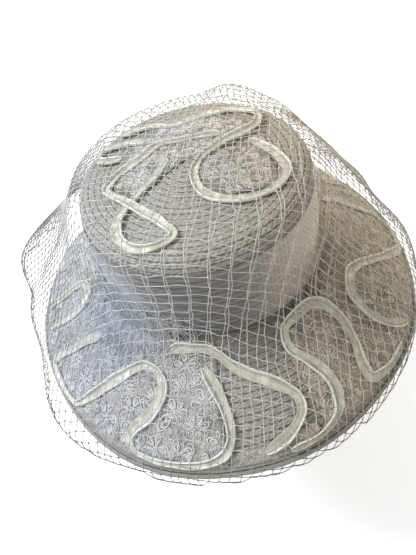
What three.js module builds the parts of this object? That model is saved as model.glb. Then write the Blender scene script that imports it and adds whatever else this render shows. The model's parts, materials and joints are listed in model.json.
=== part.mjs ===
// A wide-brimmed dress hat of sewn straw rows, with a pleated tulle band, lace, meandering
// satin ribbons and a draped net veil. Millimetres, +Z up. The origin is the middle of the
// head opening, where the crown meets the brim. The front of the hat looks along -Y.
import * as THREE from 'three';
import { mergeVertices } from 'three/addons/utils/BufferGeometryUtils.js';

// Driving dimensions
const headOpening = 178; // inside width of the crown at the head line
const strawWall = 2; // crown and brim
const crownHeight = 76; // head line to the edge of the tip
const crownTaper = 1; // how far the wall leans in between them
const shoulderRadius = 11; // round between the wall and the tip
const tipDome = 5; // how far the middle of the tip stands above its shoulder
const brimWidth = 336; // rim to rim, from side to side
const brimDepth = 360; // rim to rim, from front to back
const brimDrop = 51; // head line to the rim
const bandHeight = 70; // the pleated tulle up the wall of the crown
const bandThickness = 1.4; // at the bottom of a pleat
const pleatDepth = 1.2;
const pleatHeight = 14;
const laceThickness = 0.8;
const ribbonWidth = 9;
const tipRibbonWidth = 7.6; // the narrower ribbon on the tip
const ribbonHighEdge = 3; // the folded edge of the ribbon, which stands up
const ribbonLowEdge = 1.6;
const rimCordWidth = 3;
const veilClear = 7.5; // how far the net stands off the crown and the brim
const veilPeak = 14; // how far its stiff top stands off the back of the tip
const veilThickness = 1.2;
const veilBar = 2.6; // width of one bar of the net
const veilHemDrop = 9; // how far the net hangs below the rim
const seat = 0.3; // clearance between pieces that touch
const ribbonSeat = 0.5; // under a ribbon, which is straight between its steps

const crownRadius = headOpening / 2 + strawWall;
const edgeRadius = crownRadius - crownTaper;
const flatRadius = edgeRadius - shoulderRadius;
const laceLift = seat;
const trimLift = laceLift + laceThickness + ribbonSeat;

// The rim's slow waves: reach and drop as shares of the plain oval's
const rimWaves = [
  { at: 0, reach: 1.0, drop: 1.0 },
  { at: 40, reach: 1.0, drop: 0.96 },
  { at: 90, reach: 1.0, drop: 1.0 },
  { at: 140, reach: 1.0, drop: 0.97 },
  { at: 180, reach: 1.0, drop: 1.0 },
  { at: 205, reach: 0.99, drop: 1.0 },
  { at: 235, reach: 1.0, drop: 1.03 },
  { at: 270, reach: 0.98, drop: 0.98 },
  { at: 300, reach: 0.975, drop: 1.0 },
  { at: 330, reach: 1.0, drop: 1.02 },
];

// How the net falls: pull 0 lies along the hat, 1 is a straight tent from tip to rim.
// Peak is its share of veilPeak, and hem its reach past the rim as a share of the rim's.
const veilFall = [
  { at: 0, pull: 1.07, peak: 0.24, hem: 0.062 },
  { at: 12, pull: 1.03, peak: -0.07, hem: 0.033 },
  { at: 30, pull: 1.07, peak: 0.43, hem: 0.105 },
  { at: 55, pull: 1, peak: 0.97, hem: 0.058 },
  { at: 80, pull: 0.94, peak: -0.1, hem: 0.035 },
  { at: 110, pull: 0.9, peak: -0.1, hem: 0.115 },
  { at: 135, pull: 0.89, peak: -0.1, hem: 0.25 },
  { at: 152, pull: 0.85, peak: -0.1, hem: 0.28 },
  { at: 170, pull: 0.86, peak: -0.1, hem: 0.1 },
  { at: 190, pull: 0.75, peak: 0, hem: 0.037 },
  { at: 212, pull: 0.55, peak: 0, hem: 0.098 },
  { at: 240, pull: 0.3, peak: 0, hem: 0.028 },
  { at: 270, pull: 0.26, peak: 0, hem: 0.025 },
  { at: 300, pull: 0.41, peak: 0, hem: 0.033 },
  { at: 330, pull: 0.7, peak: 0.1, hem: 0.018 },
];

// Lace on the tip: from and to are shares of the edge's radius
const crownLaceRows = [
  { at: -78, from: 0.16, to: 0.38 },
  { at: -60, from: 0.1, to: 0.55 },
  { at: -35, from: 0.06, to: 0.76 },
  { at: -10, from: 0.05, to: 0.66 },
  { at: 20, from: 0.05, to: 0.7 },
  { at: 60, from: 0.05, to: 0.74 },
  { at: 95, from: 0.05, to: 0.7 },
  { at: 130, from: 0.05, to: 0.66 },
  { at: 160, from: 0.07, to: 0.6 },
  { at: 185, from: 0.12, to: 0.66 },
  { at: 204, from: 0.3, to: 0.56 },
];

// Lace on the brim, which leaves a window of bare straw rows at the front.
// From and to are shares of the way from the crown to the rim.
const brimLaceRows = [
  { at: -73.3, from: 0.07, to: 0.97 },
  { at: 75, from: 0.07, to: 0.97 },
  { at: 180, from: 0.07, to: 0.97 },
  { at: 260, from: 0.07, to: 0.97 },
];
const frontLaceRows = [
  { at: 262, from: 0.88, to: 0.97 },
  { at: 274, from: 0.87, to: 0.97 },
  { at: 285, from: 0.84, to: 0.97 },
];
// The tulle of the band runs out over the brim at the left
const tulleFanRows = [
  { at: 198, from: 0.09, to: 0.15 },
  { at: 208, from: 0.075, to: 0.23 },
  { at: 220, from: 0.075, to: 0.24 },
  { at: 234, from: 0.09, to: 0.16 },
];

// Ribbons on the tip: at is the azimuth, out a share of the edge's radius, and over the
// share of a full crossing by which a stretch passes over another
const ribbonEight = [
  { at: 42, out: 0.43, over: 0 },
  { at: 62, out: 0.36, over: 0 },
  { at: 95, out: 0.33, over: 0 },
  { at: 123, out: 0.42, over: 0 },
  { at: 151, out: 0.46, over: 0 },
  { at: 168, out: 0.6, over: 0 },
  { at: 179, out: 0.7, over: 0 },
  { at: 190, out: 0.7, over: 0.6 },
  { at: 207, out: 0.63, over: 1.1 },
  { at: 225, out: 0.62, over: 0.6 },
  { at: 241, out: 0.66, over: 0 },
  { at: 251, out: 0.77, over: 0 },
  { at: 245, out: 0.88, over: 0 },
  { at: 233, out: 0.93, over: 0 },
  { at: 221, out: 0.89, over: 0 },
  { at: 212, out: 0.76, over: 0 },
  { at: 207, out: 0.6, over: 0 },
  { at: 201, out: 0.43, over: 0 },
  { at: 190, out: 0.29, over: 0 },
  { at: 165, out: 0.22, over: 0 },
  { at: 139, out: 0.26, over: 0 },
];
const ribbonOval = [
  { at: 129, out: 0.87, over: 0 },
  { at: 112, out: 0.76, over: 0 },
  { at: 94, out: 0.61, over: 0 },
  { at: 81, out: 0.65, over: 0 },
  { at: 55, out: 0.8, over: 0 },
  { at: 41, out: 0.85, over: 0 },
  { at: 30, out: 0.79, over: 0.5 },
  { at: 22, out: 0.6, over: 1.1 },
  { at: 22, out: 0.44, over: 1.1 },
  { at: 20, out: 0.25, over: 0.5 },
  { at: 0, out: 0.1, over: 0 },
  { at: 279, out: 0.13, over: 0 },
  { at: 274, out: 0.34, over: 0 },
  { at: 286, out: 0.5, over: 0 },
  { at: 304, out: 0.67, over: 0 },
  { at: 320, out: 0.78, over: 0 },
  { at: 334, out: 0.81, over: 0 },
  { at: 345, out: 0.745, over: 0 },
  { at: 0, out: 0.63, over: 0 },
  { at: 14, out: 0.54, over: 0 },
];
const ribbonCurl = [
  { at: 127, out: 0.57, over: 0 },
  { at: 131, out: 0.68, over: 0 },
  { at: 138, out: 0.8, over: 0 },
  { at: 146, out: 0.89, over: 0 },
  { at: 153, out: 0.86, over: 0 },
  { at: 153, out: 0.75, over: 0 },
  { at: 149, out: 0.65, over: 0 },
];

// Ribbons on the brim: out is the share of the way from the crown to the rim
const ribbonLeftBack = [
  { at: 175, out: 0.9 },
  { at: 176.5, out: 0.7 },
  { at: 177, out: 0.5 },
  { at: 178.5, out: 0.34 },
  { at: 184, out: 0.27 },
  { at: 188.5, out: 0.36 },
  { at: 189, out: 0.52 },
  { at: 187, out: 0.7 },
  { at: 184.5, out: 0.88 },
];
const ribbonLeft = [
  { at: 208, out: 0.33 },
  { at: 206.5, out: 0.39 },
  { at: 203.5, out: 0.5 },
  { at: 200.5, out: 0.66 },
  { at: 197, out: 0.83 },
  { at: 196.5, out: 0.925 },
  { at: 201.5, out: 0.945 },
  { at: 208, out: 0.95 },
  { at: 213, out: 0.93 },
  { at: 217, out: 0.79 },
  { at: 220.7, out: 0.64 },
  { at: 225, out: 0.49 },
  { at: 229, out: 0.38 },
  { at: 233, out: 0.32 },
  { at: 236.5, out: 0.32 },
  { at: 240, out: 0.37 },
  { at: 241.5, out: 0.465 },
  { at: 240.5, out: 0.57 },
  { at: 238, out: 0.68 },
  { at: 235, out: 0.78 },
  { at: 234, out: 0.86 },
  { at: 236, out: 0.92 },
  { at: 240, out: 0.94 },
  { at: 246, out: 0.945 },
  { at: 254, out: 0.935 },
  { at: 259.5, out: 0.89 },
  { at: 262, out: 0.8 },
  { at: 262.5, out: 0.7 },
  { at: 262, out: 0.6 },
  { at: 260.3, out: 0.47 },
  { at: 258, out: 0.355 },
  { at: 255.5, out: 0.27 },
];
const ribbonFront = [
  { at: 241, out: 0.15 },
  { at: 247, out: 0.12 },
  { at: 255, out: 0.12 },
  { at: 261, out: 0.17 },
  { at: 266, out: 0.27 },
  { at: 271, out: 0.36 },
  { at: 276.5, out: 0.45 },
  { at: 280.5, out: 0.54 },
  { at: 283, out: 0.65 },
  { at: 282, out: 0.75 },
  { at: 277.5, out: 0.84 },
  { at: 270, out: 0.915 },
];
const ribbonRight = [
  { at: 276, out: 0.95 },
  { at: 284, out: 0.945 },
  { at: 290.5, out: 0.89 },
  { at: 293.5, out: 0.77 },
  { at: 294, out: 0.64 },
  { at: 292, out: 0.49 },
  { at: 288.5, out: 0.34 },
  { at: 289, out: 0.22 },
  { at: 294, out: 0.14 },
  { at: 303, out: 0.13 },
  { at: 309, out: 0.19 },
  { at: 311, out: 0.32 },
  { at: 310, out: 0.47 },
  { at: 307.5, out: 0.63 },
  { at: 304.5, out: 0.78 },
  { at: 304.5, out: 0.89 },
  { at: 311, out: 0.945 },
  { at: 319, out: 0.945 },
];
const ribbonSide = [
  { at: 326, out: 0.94 },
  { at: 322, out: 0.82 },
  { at: 319.5, out: 0.66 },
  { at: 320.5, out: 0.47 },
  { at: 324.5, out: 0.36 },
  { at: 330, out: 0.33 },
  { at: 336, out: 0.4 },
  { at: 341, out: 0.54 },
  { at: 347, out: 0.75 },
  { at: 353, out: 0.92 },
  { at: 361, out: 0.935 },
  { at: 367, out: 0.84 },
  { at: 370, out: 0.6 },
  { at: 374, out: 0.4 },
  { at: 373, out: 0.25 },
];
// The same meander goes on round the back, by rule
const backMeander = { start: 28, end: 159, loops: 3.5, middle: 0.58, swing: 0.34, bulge: 5, rows: 28 };

const colours = {
  straw: { color: 0xb9b4a8, roughness: 0.75, metalness: 0 },
  tulle: { color: 0xaaa7ad, roughness: 0.7, metalness: 0 },
  lace: { color: 0xc9c5bb, roughness: 0.85, metalness: 0 },
  satin: { color: 0xdedac8, roughness: 0.35, metalness: 0 },
  net: { color: 0xe6e2da, roughness: 0.6, metalness: 0 },
};

const hat = new THREE.Group();

function addPiece(name, finish, geometry) {
  const mesh = new THREE.Mesh(geometry, new THREE.MeshStandardMaterial(colours[finish]));
  mesh.name = name;
  hat.add(mesh);
}

const radians = THREE.MathUtils.degToRad;
const mix = THREE.MathUtils.lerp;

function plan(degrees, radius, z = 0) {
  const a = radians(degrees);
  return new THREE.Vector3(radius * Math.cos(a), radius * Math.sin(a), z);
}

// The value of one column of an azimuth table, smooth between its rows. A round table
// meets itself after a full turn.
function lookUp(rows, column, degrees, round) {
  const count = rows.length;
  const turn = round ? THREE.MathUtils.euclideanModulo(degrees, 360) : degrees;
  let i = 0;
  while (i < count - 1 && rows[i + 1].at <= turn) i += 1;
  const last = i === count - 1;
  if (last && !round) return rows[i][column];
  const next = last ? rows[0] : rows[i + 1];
  const span = last ? 360 + next.at - rows[i].at : next.at - rows[i].at;
  const t = THREE.MathUtils.clamp((turn - rows[i].at) / span, 0, 1);
  return mix(rows[i][column], next[column], t * t * (3 - 2 * t));
}

// The crown's outside height over a point of the tip
function tipHeight(radius) {
  if (radius > flatRadius) {
    const out = Math.min(radius - flatRadius, shoulderRadius);
    return crownHeight + Math.sqrt(shoulderRadius ** 2 - out ** 2);
  }
  const dome = (1 + Math.cos((Math.PI * radius) / flatRadius)) / 2;
  return crownHeight + shoulderRadius + tipDome * dome;
}

function rimReach(degrees) {
  const a = radians(degrees);
  const oval = 1 / Math.hypot(Math.cos(a) / (brimWidth / 2), Math.sin(a) / (brimDepth / 2));
  return oval * lookUp(rimWaves, 'reach', degrees, true);
}

function rimHeight(degrees) {
  return -brimDrop * lookUp(rimWaves, 'drop', degrees, true);
}

// The brim turns down slowly at first and faster towards the rim
const brimFirstSlope = 0.6;
function brimPoint(degrees, share) {
  const fall = brimFirstSlope * share + (1 - brimFirstSlope) * share * share;
  return plan(degrees, mix(crownRadius, rimReach(degrees), share), rimHeight(degrees) * fall);
}

function tipPoint(degrees, share) {
  const radius = share * edgeRadius;
  return plan(degrees, radius, tipHeight(radius));
}

// A point of the outside, lifted off it square to its slope
function lifted(surface, degrees, share, lift) {
  const turn = 0.5;
  const step = share > 0.5 ? -0.01 : 0.01;
  const here = surface(degrees, share);
  const aside = surface(degrees + turn, share).sub(surface(degrees - turn, share));
  const along = surface(degrees, share + step).sub(here);
  const up = aside.cross(along).normalize();
  if (up.z < 0) up.negate();
  return { point: here.addScaledVector(up, lift), up };
}

// A closed body from cross-sections that have as many points each. The sections close on
// themselves when round is true, and are capped when it is false. Faces without area, as
// at a pole, are left out.
function skin(sections, round) {
  const points = sections.flat();
  const width = sections[0].length;
  const faces = [];
  const count = sections.length;
  for (let i = 0; i < (round ? count : count - 1); i += 1) {
    for (let j = 0; j < width; j += 1) {
      const a = i * width + j;
      const b = i * width + ((j + 1) % width);
      const c = ((i + 1) % count) * width + ((j + 1) % width);
      const d = ((i + 1) % count) * width + j;
      faces.push([a, b, c], [a, c, d]);
    }
  }
  if (!round) {
    const last = (count - 1) * width;
    for (let j = 1; j < width - 1; j += 1) {
      faces.push([0, j + 1, j], [last, last + j, last + j + 1]);
    }
  }
  return solid(points, faces);
}

function signedVolume(points, faces) {
  let six = 0;
  for (const [a, b, c] of faces) {
    six += points[a].dot(new THREE.Vector3().crossVectors(points[b], points[c]));
  }
  return six;
}

function solid(points, faces) {
  const outward = signedVolume(points, faces) > 0;
  const geometry = new THREE.BufferGeometry();
  const place = new Float32Array(points.flatMap((p) => [p.x, p.y, p.z]));
  geometry.setAttribute('position', new THREE.BufferAttribute(place, 3));
  geometry.setIndex(faces.flatMap(([a, b, c]) => (outward ? [a, b, c] : [a, c, b])));
  const merged = mergeVertices(geometry, 0.001);
  const index = merged.index.array;
  const kept = [];
  for (let i = 0; i < index.length; i += 3) {
    const [a, b, c] = index.slice(i, i + 3);
    if (a !== b && b !== c && c !== a) kept.push(a, b, c);
  }
  merged.setIndex(kept);
  merged.computeVertexNormals();
  return merged;
}

// A sheet given by its top faces becomes a closed body: the same faces below, and a wall
// along each edge that only one face has.
function thicken(top, bottom, faces) {
  const triangles = [];
  const edges = new Map();
  const shift = top.length;
  for (const face of faces) {
    for (let j = 1; j < face.length - 1; j += 1) {
      triangles.push([face[0], face[j], face[j + 1]]);
      triangles.push([face[0] + shift, face[j + 1] + shift, face[j] + shift]);
    }
    face.forEach((a, j) => edges.set(`${a},${face[(j + 1) % face.length]}`, true));
  }
  for (const key of edges.keys()) {
    const [a, b] = key.split(',').map(Number);
    if (edges.has(`${b},${a}`)) continue;
    triangles.push([a, a + shift, b], [b, a + shift, b + shift]);
  }
  return solid([...top, ...bottom], triangles);
}

function steps(count) {
  return Array.from({ length: count + 1 }, (_, i) => i / count);
}

function turns(count) {
  return Array.from({ length: count }, (_, i) => (360 * i) / count);
}

// Crown
const crownSides = 44;
const innerFlat = flatRadius;
const innerShoulder = shoulderRadius - strawWall;
const shoulderSteps = 3;
const domeShares = [0.75, 0.5, 0.25, 0];
function crownSection(degrees) {
  const outside = [plan(degrees, crownRadius, seat)];
  const inside = [plan(degrees, crownRadius - strawWall, seat)];
  for (const t of steps(shoulderSteps)) {
    const a = (t * Math.PI) / 2;
    const out = Math.cos(a);
    const up = Math.sin(a);
    outside.push(plan(degrees, flatRadius + shoulderRadius * out, crownHeight + shoulderRadius * up));
    inside.push(plan(degrees, innerFlat + innerShoulder * out, crownHeight + innerShoulder * up));
  }
  for (const share of domeShares) {
    const radius = share * flatRadius;
    outside.push(plan(degrees, radius, tipHeight(radius)));
    inside.push(plan(degrees, radius, tipHeight(radius) - strawWall));
  }
  return [...outside, ...inside.reverse()];
}
addPiece('crown', 'straw', skin(turns(crownSides).map(crownSection), true));

// Brim, with a level landing under the wall of the crown
const brimSides = 54;
const brimShares = steps(4);
function brimSection(degrees) {
  const above = brimShares.map((share) => brimPoint(degrees, share));
  const below = brimShares.map((share) => lifted(brimPoint, degrees, share, -strawWall).point);
  const landing = plan(degrees, crownRadius - strawWall, 0);
  const underside = plan(degrees, crownRadius - strawWall, below[0].z);
  return [landing, ...above, ...below.reverse(), underside];
}
addPiece('brim', 'straw', skin(turns(brimSides).map(brimSection), true));

// Pleated tulle band round the wall of the crown
const bandSides = 40;
const pleats = Math.max(1, Math.round(bandHeight / pleatHeight));
const bandFoot = 2 * seat;
function wallRadius(z) {
  return crownRadius - (crownTaper * z) / crownHeight;
}
function bandSection(degrees) {
  const outside = steps(2 * pleats).map((t, i) => {
    const z = bandFoot + bandHeight * t;
    const fold = i % 2 ? pleatDepth : 0;
    return plan(degrees, wallRadius(z) + seat + bandThickness + fold, z);
  });
  const head = bandFoot + bandHeight;
  const inside = [plan(degrees, wallRadius(head) + seat, head), plan(degrees, wallRadius(0) + seat, bandFoot)];
  return [...outside, ...inside];
}
addPiece('crown_band', 'tulle', skin(turns(bandSides).map(bandSection), true));

// A patch of lace or tulle that lies on the crown or the brim, with sections at even steps
// of azimuth and a fold at each of the surface's own shares
function patch(rows, surface, lift, folds, pitch) {
  const first = rows[0].at;
  const last = rows[rows.length - 1].at;
  const layout = steps(Math.round((last - first) / pitch)).map((t) => {
    const degrees = mix(first, last, t);
    const from = lookUp(rows, 'from', degrees, false);
    const to = lookUp(rows, 'to', degrees, false);
    const shares = folds.map((fold) => mix(from, to, fold));
    const below = shares.map((share) => lifted(surface, degrees, share, lift).point);
    const above = shares.map((share) => lifted(surface, degrees, share, lift + laceThickness).point);
    return [...below, ...above.reverse()];
  });
  return skin(layout, false);
}
const laceFolds = [0, 0.2, 0.478, 0.756, 1];
addPiece('crown_lace', 'lace', patch(crownLaceRows, tipPoint, laceLift, steps(4), 11));
addPiece('brim_lace', 'lace', patch(brimLaceRows, brimPoint, laceLift, laceFolds, 360 / brimSides));
addPiece('brim_lace_front', 'lace', patch(frontLaceRows, brimPoint, laceLift, steps(1), 6));
addPiece('tulle_fan', 'tulle', patch(tulleFanRows, brimPoint, trimLift, steps(2), 6));

// A ribbon along a path on the crown or the brim, with one edge folded up high: the right
// one along the path for a highSide of 1, and the left one for -1
const ribbonStep = 1.35 * ribbonWidth;
function ribbon(rows, surface, highSide, width) {
  const way = new THREE.CatmullRomCurve3(
    rows.map((row) => plan(row.at, row.out, row.over ?? 0)),
    false,
    'centripetal',
  );
  const rough = way.getPoints(rows.length * 6).map((p) => onSurface(p, surface, 0).point);
  const length = rough.slice(1).reduce((sum, p, i) => sum + p.distanceTo(rough[i]), 0);
  const count = Math.ceil(length / ribbonStep);
  const crossing = ribbonHighEdge + seat;
  const line = steps(count).map((t) => {
    const p = way.getPointAt(t);
    return onSurface(p, surface, trimLift + crossing * THREE.MathUtils.clamp(p.z, 0, 1.05));
  });
  const sections = line.map(({ point, up }, i) => {
    const ahead = line[Math.min(i + 1, count)].point;
    const behind = line[Math.max(i - 1, 0)].point;
    const aside = ahead.clone().sub(behind).cross(up).normalize();
    const corner = (side, height) => point
      .clone()
      .addScaledVector(aside, (side * width) / 2)
      .addScaledVector(up, height);
    return [
      corner(-1, 0),
      corner(1, 0),
      corner(1, highSide > 0 ? ribbonHighEdge : ribbonLowEdge),
      corner(-1, highSide > 0 ? ribbonLowEdge : ribbonHighEdge),
    ];
  });
  return skin(sections, false);
}

function onSurface(p, surface, lift) {
  const degrees = THREE.MathUtils.radToDeg(Math.atan2(p.y, p.x));
  return lifted(surface, degrees, Math.hypot(p.x, p.y), lift);
}

function meander({ start, end, loops, middle, swing, bulge, rows }) {
  return steps(rows).map((t) => ({
    at: mix(start, end, t) - bulge * Math.sin(4 * Math.PI * loops * t),
    out: middle + swing * Math.sin(2 * Math.PI * loops * t),
  }));
}

const outer = 1;
const inner = -1;
addPiece('ribbon_eight', 'satin', ribbon(ribbonEight, tipPoint, outer, tipRibbonWidth));
addPiece('ribbon_oval', 'satin', ribbon(ribbonOval, tipPoint, outer, tipRibbonWidth));
addPiece('ribbon_curl', 'satin', ribbon(ribbonCurl, tipPoint, inner, tipRibbonWidth));
addPiece('ribbon_left_back', 'satin', ribbon(ribbonLeftBack, brimPoint, inner, ribbonWidth));
addPiece('ribbon_left', 'satin', ribbon(ribbonLeft, brimPoint, inner, ribbonWidth));
addPiece('ribbon_front', 'satin', ribbon(ribbonFront, brimPoint, inner, ribbonWidth));
addPiece('ribbon_right', 'satin', ribbon(ribbonRight, brimPoint, inner, ribbonWidth));
addPiece('ribbon_side', 'satin', ribbon(ribbonSide, brimPoint, inner, ribbonWidth));
addPiece('ribbon_back', 'satin', ribbon(meander(backMeander), brimPoint, inner, ribbonWidth));

// Satin cord round the rim
const cordSides = 4;
function rimCordSection(degrees) {
  const edge = lifted(brimPoint, degrees, 1, -strawWall / 2);
  const away = plan(degrees, 1);
  away.addScaledVector(edge.up, -away.dot(edge.up)).normalize();
  const middle = edge.point.addScaledVector(away, rimCordWidth / 2 + seat);
  return turns(cordSides).map((a) => middle
    .clone()
    .addScaledVector(away, (rimCordWidth / 2) * Math.cos(radians(a)))
    .addScaledVector(edge.up, (rimCordWidth / 2) * Math.sin(radians(a))));
}
addPiece('rim_cord', 'satin', skin(turns(brimSides).map(rimCordSection), true));

// The net's line down from the peak to the hem, at one azimuth
function veilLine(degrees) {
  const pull = lookUp(veilFall, 'pull', degrees, true);
  const peak = veilPeak * lookUp(veilFall, 'peak', degrees, true);
  const hem = rimReach(degrees) * (1 + lookUp(veilFall, 'hem', degrees, true));
  const rimUp = rimHeight(degrees);
  const top = crownHeight + shoulderRadius + tipDome + veilClear;
  const edge = new THREE.Vector2(edgeRadius + 1.1 * veilClear, crownHeight + 0.9 * veilClear);
  const overRim = new THREE.Vector2(hem - 0.2 * veilClear, rimUp + 0.9 * veilClear);
  const foot = new THREE.Vector2(crownRadius + 1.5 * veilClear, 2 * veilClear);
  const half = new THREE.Vector2(mix(crownRadius, hem, 0.55), 0.42 * rimUp + 1.25 * veilClear);
  const path = [
    new THREE.Vector2(0, top + 0.4 * peak),
    new THREE.Vector2(0.6 * edge.x, top + peak),
    new THREE.Vector2(edgeRadius, crownHeight + 2.3 * veilClear + 0.6 * peak),
    edge,
    foot.lerp(edge.clone().lerp(overRim, 0.4), pull),
    half.lerp(edge.clone().lerp(overRim, 0.7), pull),
    overRim,
    new THREE.Vector2(hem, rimUp - veilHemDrop),
  ];
  return new THREE.CatmullRomCurve3(
    path.map((p) => plan(degrees, p.x, p.y)),
    false,
    'centripetal',
  );
}

const veilAround = 16;
const veilRows = [0.1, 0.2, 0.32, 0.45, 0.59, 0.73, 0.87, 1];
const veilLines = new Map();
function veilPoint(degrees, share) {
  const key = THREE.MathUtils.euclideanModulo(degrees, 360).toFixed(3);
  if (!veilLines.has(key)) veilLines.set(key, veilLine(Number(key)));
  return veilLines.get(key).getPointAt(share);
}

function veilFrame(degrees, share) {
  const point = veilPoint(degrees, share);
  const near = Math.min(share, 0.99);
  const down = veilPoint(degrees, near + 0.01).sub(veilPoint(degrees, near - 0.01)).normalize();
  const aside = veilPoint(degrees + 1, share).sub(veilPoint(degrees - 1, share));
  const up = down.clone().cross(aside).normalize();
  return { point, up, down, aside: up.clone().cross(down) };
}

// A net of diamonds. Bars run from knot to knot, and every row of knots stands between
// those of the rows above and below it.
function veil() {
  const top = [];
  const bottom = [];
  const faces = [];
  const reach = 0.75 * veilBar;
  const mark = (frame, aside, down) => {
    const here = frame.point.clone().addScaledVector(frame.aside, aside).addScaledVector(frame.down, down);
    bottom.push(here);
    top.push(here.clone().addScaledVector(frame.up, veilThickness));
    return top.length - 1;
  };
  const knotAt = (row, i) => {
    const degrees = (360 / veilAround) * (i + (row % 2) / 2);
    const frame = veilFrame(degrees, veilRows[row]);
    return {
      degrees,
      share: veilRows[row],
      left: mark(frame, -reach, 0),
      right: mark(frame, reach, 0),
      head: mark(frame, 0, -reach),
      foot: mark(frame, 0, reach),
    };
  };
  const bar = (from, to, side) => {
    const quarter = (side * 90) / veilAround;
    const frame = veilFrame(from.degrees + quarter, (from.share + to.share) / 2);
    const upper = mark(frame, 0.35 * side * veilBar, -0.35 * veilBar);
    const lower = mark(frame, -0.35 * side * veilBar, 0.35 * veilBar);
    const start = side > 0 ? from.right : from.left;
    const end = side > 0 ? to.left : to.right;
    const strips = [[start, upper, lower, from.foot], [upper, to.head, end, lower]];
    faces.push(...strips.map((strip) => (side > 0 ? strip : strip.reverse())));
  };
  const knots = veilRows.map((_, row) => steps(veilAround - 1).map((_, i) => knotAt(row, i)));
  knots.forEach((row, r) => row.forEach((knot, i) => {
    faces.push([knot.head, knot.right, knot.foot, knot.left]);
    if (r + 1 === knots.length) return;
    const right = i + (r % 2);
    bar(knot, knots[r + 1][right % veilAround], 1);
    bar(knot, knots[r + 1][(right + veilAround - 1) % veilAround], -1);
  }));
  return thicken(top, bottom, faces);
}
addPiece('veil', 'net', veil());

export default hat;
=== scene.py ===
import json
import math

import bmesh
import bpy
import numpy as np
from mathutils import Matrix, Vector

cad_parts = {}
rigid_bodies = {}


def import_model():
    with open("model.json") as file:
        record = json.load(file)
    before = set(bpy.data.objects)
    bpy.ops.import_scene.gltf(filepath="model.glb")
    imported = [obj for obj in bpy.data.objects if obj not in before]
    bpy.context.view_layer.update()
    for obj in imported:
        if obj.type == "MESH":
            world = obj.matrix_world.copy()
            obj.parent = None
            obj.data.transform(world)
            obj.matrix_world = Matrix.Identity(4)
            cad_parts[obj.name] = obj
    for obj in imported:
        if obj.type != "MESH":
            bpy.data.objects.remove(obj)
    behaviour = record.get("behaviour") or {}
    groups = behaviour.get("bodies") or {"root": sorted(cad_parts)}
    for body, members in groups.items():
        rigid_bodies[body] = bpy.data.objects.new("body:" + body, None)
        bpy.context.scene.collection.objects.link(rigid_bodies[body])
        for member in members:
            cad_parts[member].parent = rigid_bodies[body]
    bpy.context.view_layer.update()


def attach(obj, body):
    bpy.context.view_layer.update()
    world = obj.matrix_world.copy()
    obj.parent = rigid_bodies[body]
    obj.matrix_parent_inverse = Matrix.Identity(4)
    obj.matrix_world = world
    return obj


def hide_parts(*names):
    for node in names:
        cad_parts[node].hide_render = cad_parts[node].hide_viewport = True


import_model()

# Sizes of the hat, in metres. Crown, brim, band and net have their solids' sizes. The ribbons are
# 0.2 to 0.4 mm narrower than theirs, and the lifts and the straw's rows are only here.
MM = 0.001
HEAD_OPENING = 178 * MM
STRAW_WALL = 2 * MM
CROWN_HEIGHT = 76 * MM
CROWN_TAPER = 1 * MM
SHOULDER_RADIUS = 11 * MM
TIP_DOME = 5 * MM
BRIM_WIDTH = 336 * MM
BRIM_DEPTH = 360 * MM
BRIM_DROP = 51 * MM
BRIM_FIRST_SLOPE = 0.6
BAND_HEIGHT = 70 * MM
TIP_RIBBON = 7.2 * MM
BRIM_RIBBON = 8.8 * MM
VEIL_CLEAR = 7.5 * MM
VEIL_PEAK = 14 * MM
VEIL_HEM_DROP = 9 * MM
LACE_LIFT = 0.3 * MM
RIBBON_LIFT = 1.6 * MM
CROSSING_LIFT = 3.3 * MM
CROWN_RADIUS = HEAD_OPENING / 2 + STRAW_WALL
EDGE_RADIUS = CROWN_RADIUS - CROWN_TAPER
FLAT_RADIUS = EDGE_RADIUS - SHOULDER_RADIUS
SHOULDER_RUN = SHOULDER_RADIUS * math.pi / 2
STRAW_ROW = 5.0 * MM

# at, reach, drop
RIM_WAVES = [(0, 1, 1), (40, 1, 0.96), (90, 1, 1), (140, 1, 0.97), (180, 1, 1), (205, 0.99, 1),
             (235, 1, 1.03), (270, 0.98, 0.98), (300, 0.975, 1), (330, 1, 1.02)]

# at, pull, peak, hem
VEIL_FALL = [(0, 1.07, 0.24, 0.062), (12, 1.03, -0.07, 0.033), (30, 1.07, 0.43, 0.105),
             (55, 1, 0.97, 0.058), (80, 0.94, -0.1, 0.035), (110, 0.9, -0.1, 0.115),
             (135, 0.89, -0.1, 0.25), (152, 0.85, -0.1, 0.28), (170, 0.86, -0.1, 0.1),
             (190, 0.75, 0, 0.037), (212, 0.55, 0, 0.098), (240, 0.3, 0, 0.028),
             (270, 0.26, 0, 0.025), (300, 0.41, 0, 0.033), (330, 0.7, 0.1, 0.018)]

# Lace and tulle patches: at, from, to, as shares of the surface they lie on
CROWN_LACE = [(-78, 0.16, 0.38), (-60, 0.1, 0.55), (-35, 0.06, 0.76), (-10, 0.05, 0.66),
              (20, 0.05, 0.7), (60, 0.05, 0.74), (95, 0.05, 0.7), (130, 0.05, 0.66),
              (160, 0.07, 0.6), (185, 0.12, 0.66), (204, 0.3, 0.56)]
BRIM_LACE = [(-73.3, 0.07, 0.97), (75, 0.07, 0.97), (180, 0.07, 0.97), (260, 0.07, 0.97)]
FRONT_LACE = [(262, 0.88, 0.97), (274, 0.87, 0.97), (285, 0.84, 0.97)]
TULLE_FAN = [(198, 0.09, 0.15), (208, 0.075, 0.23), (220, 0.075, 0.24), (234, 0.09, 0.16)]

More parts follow.
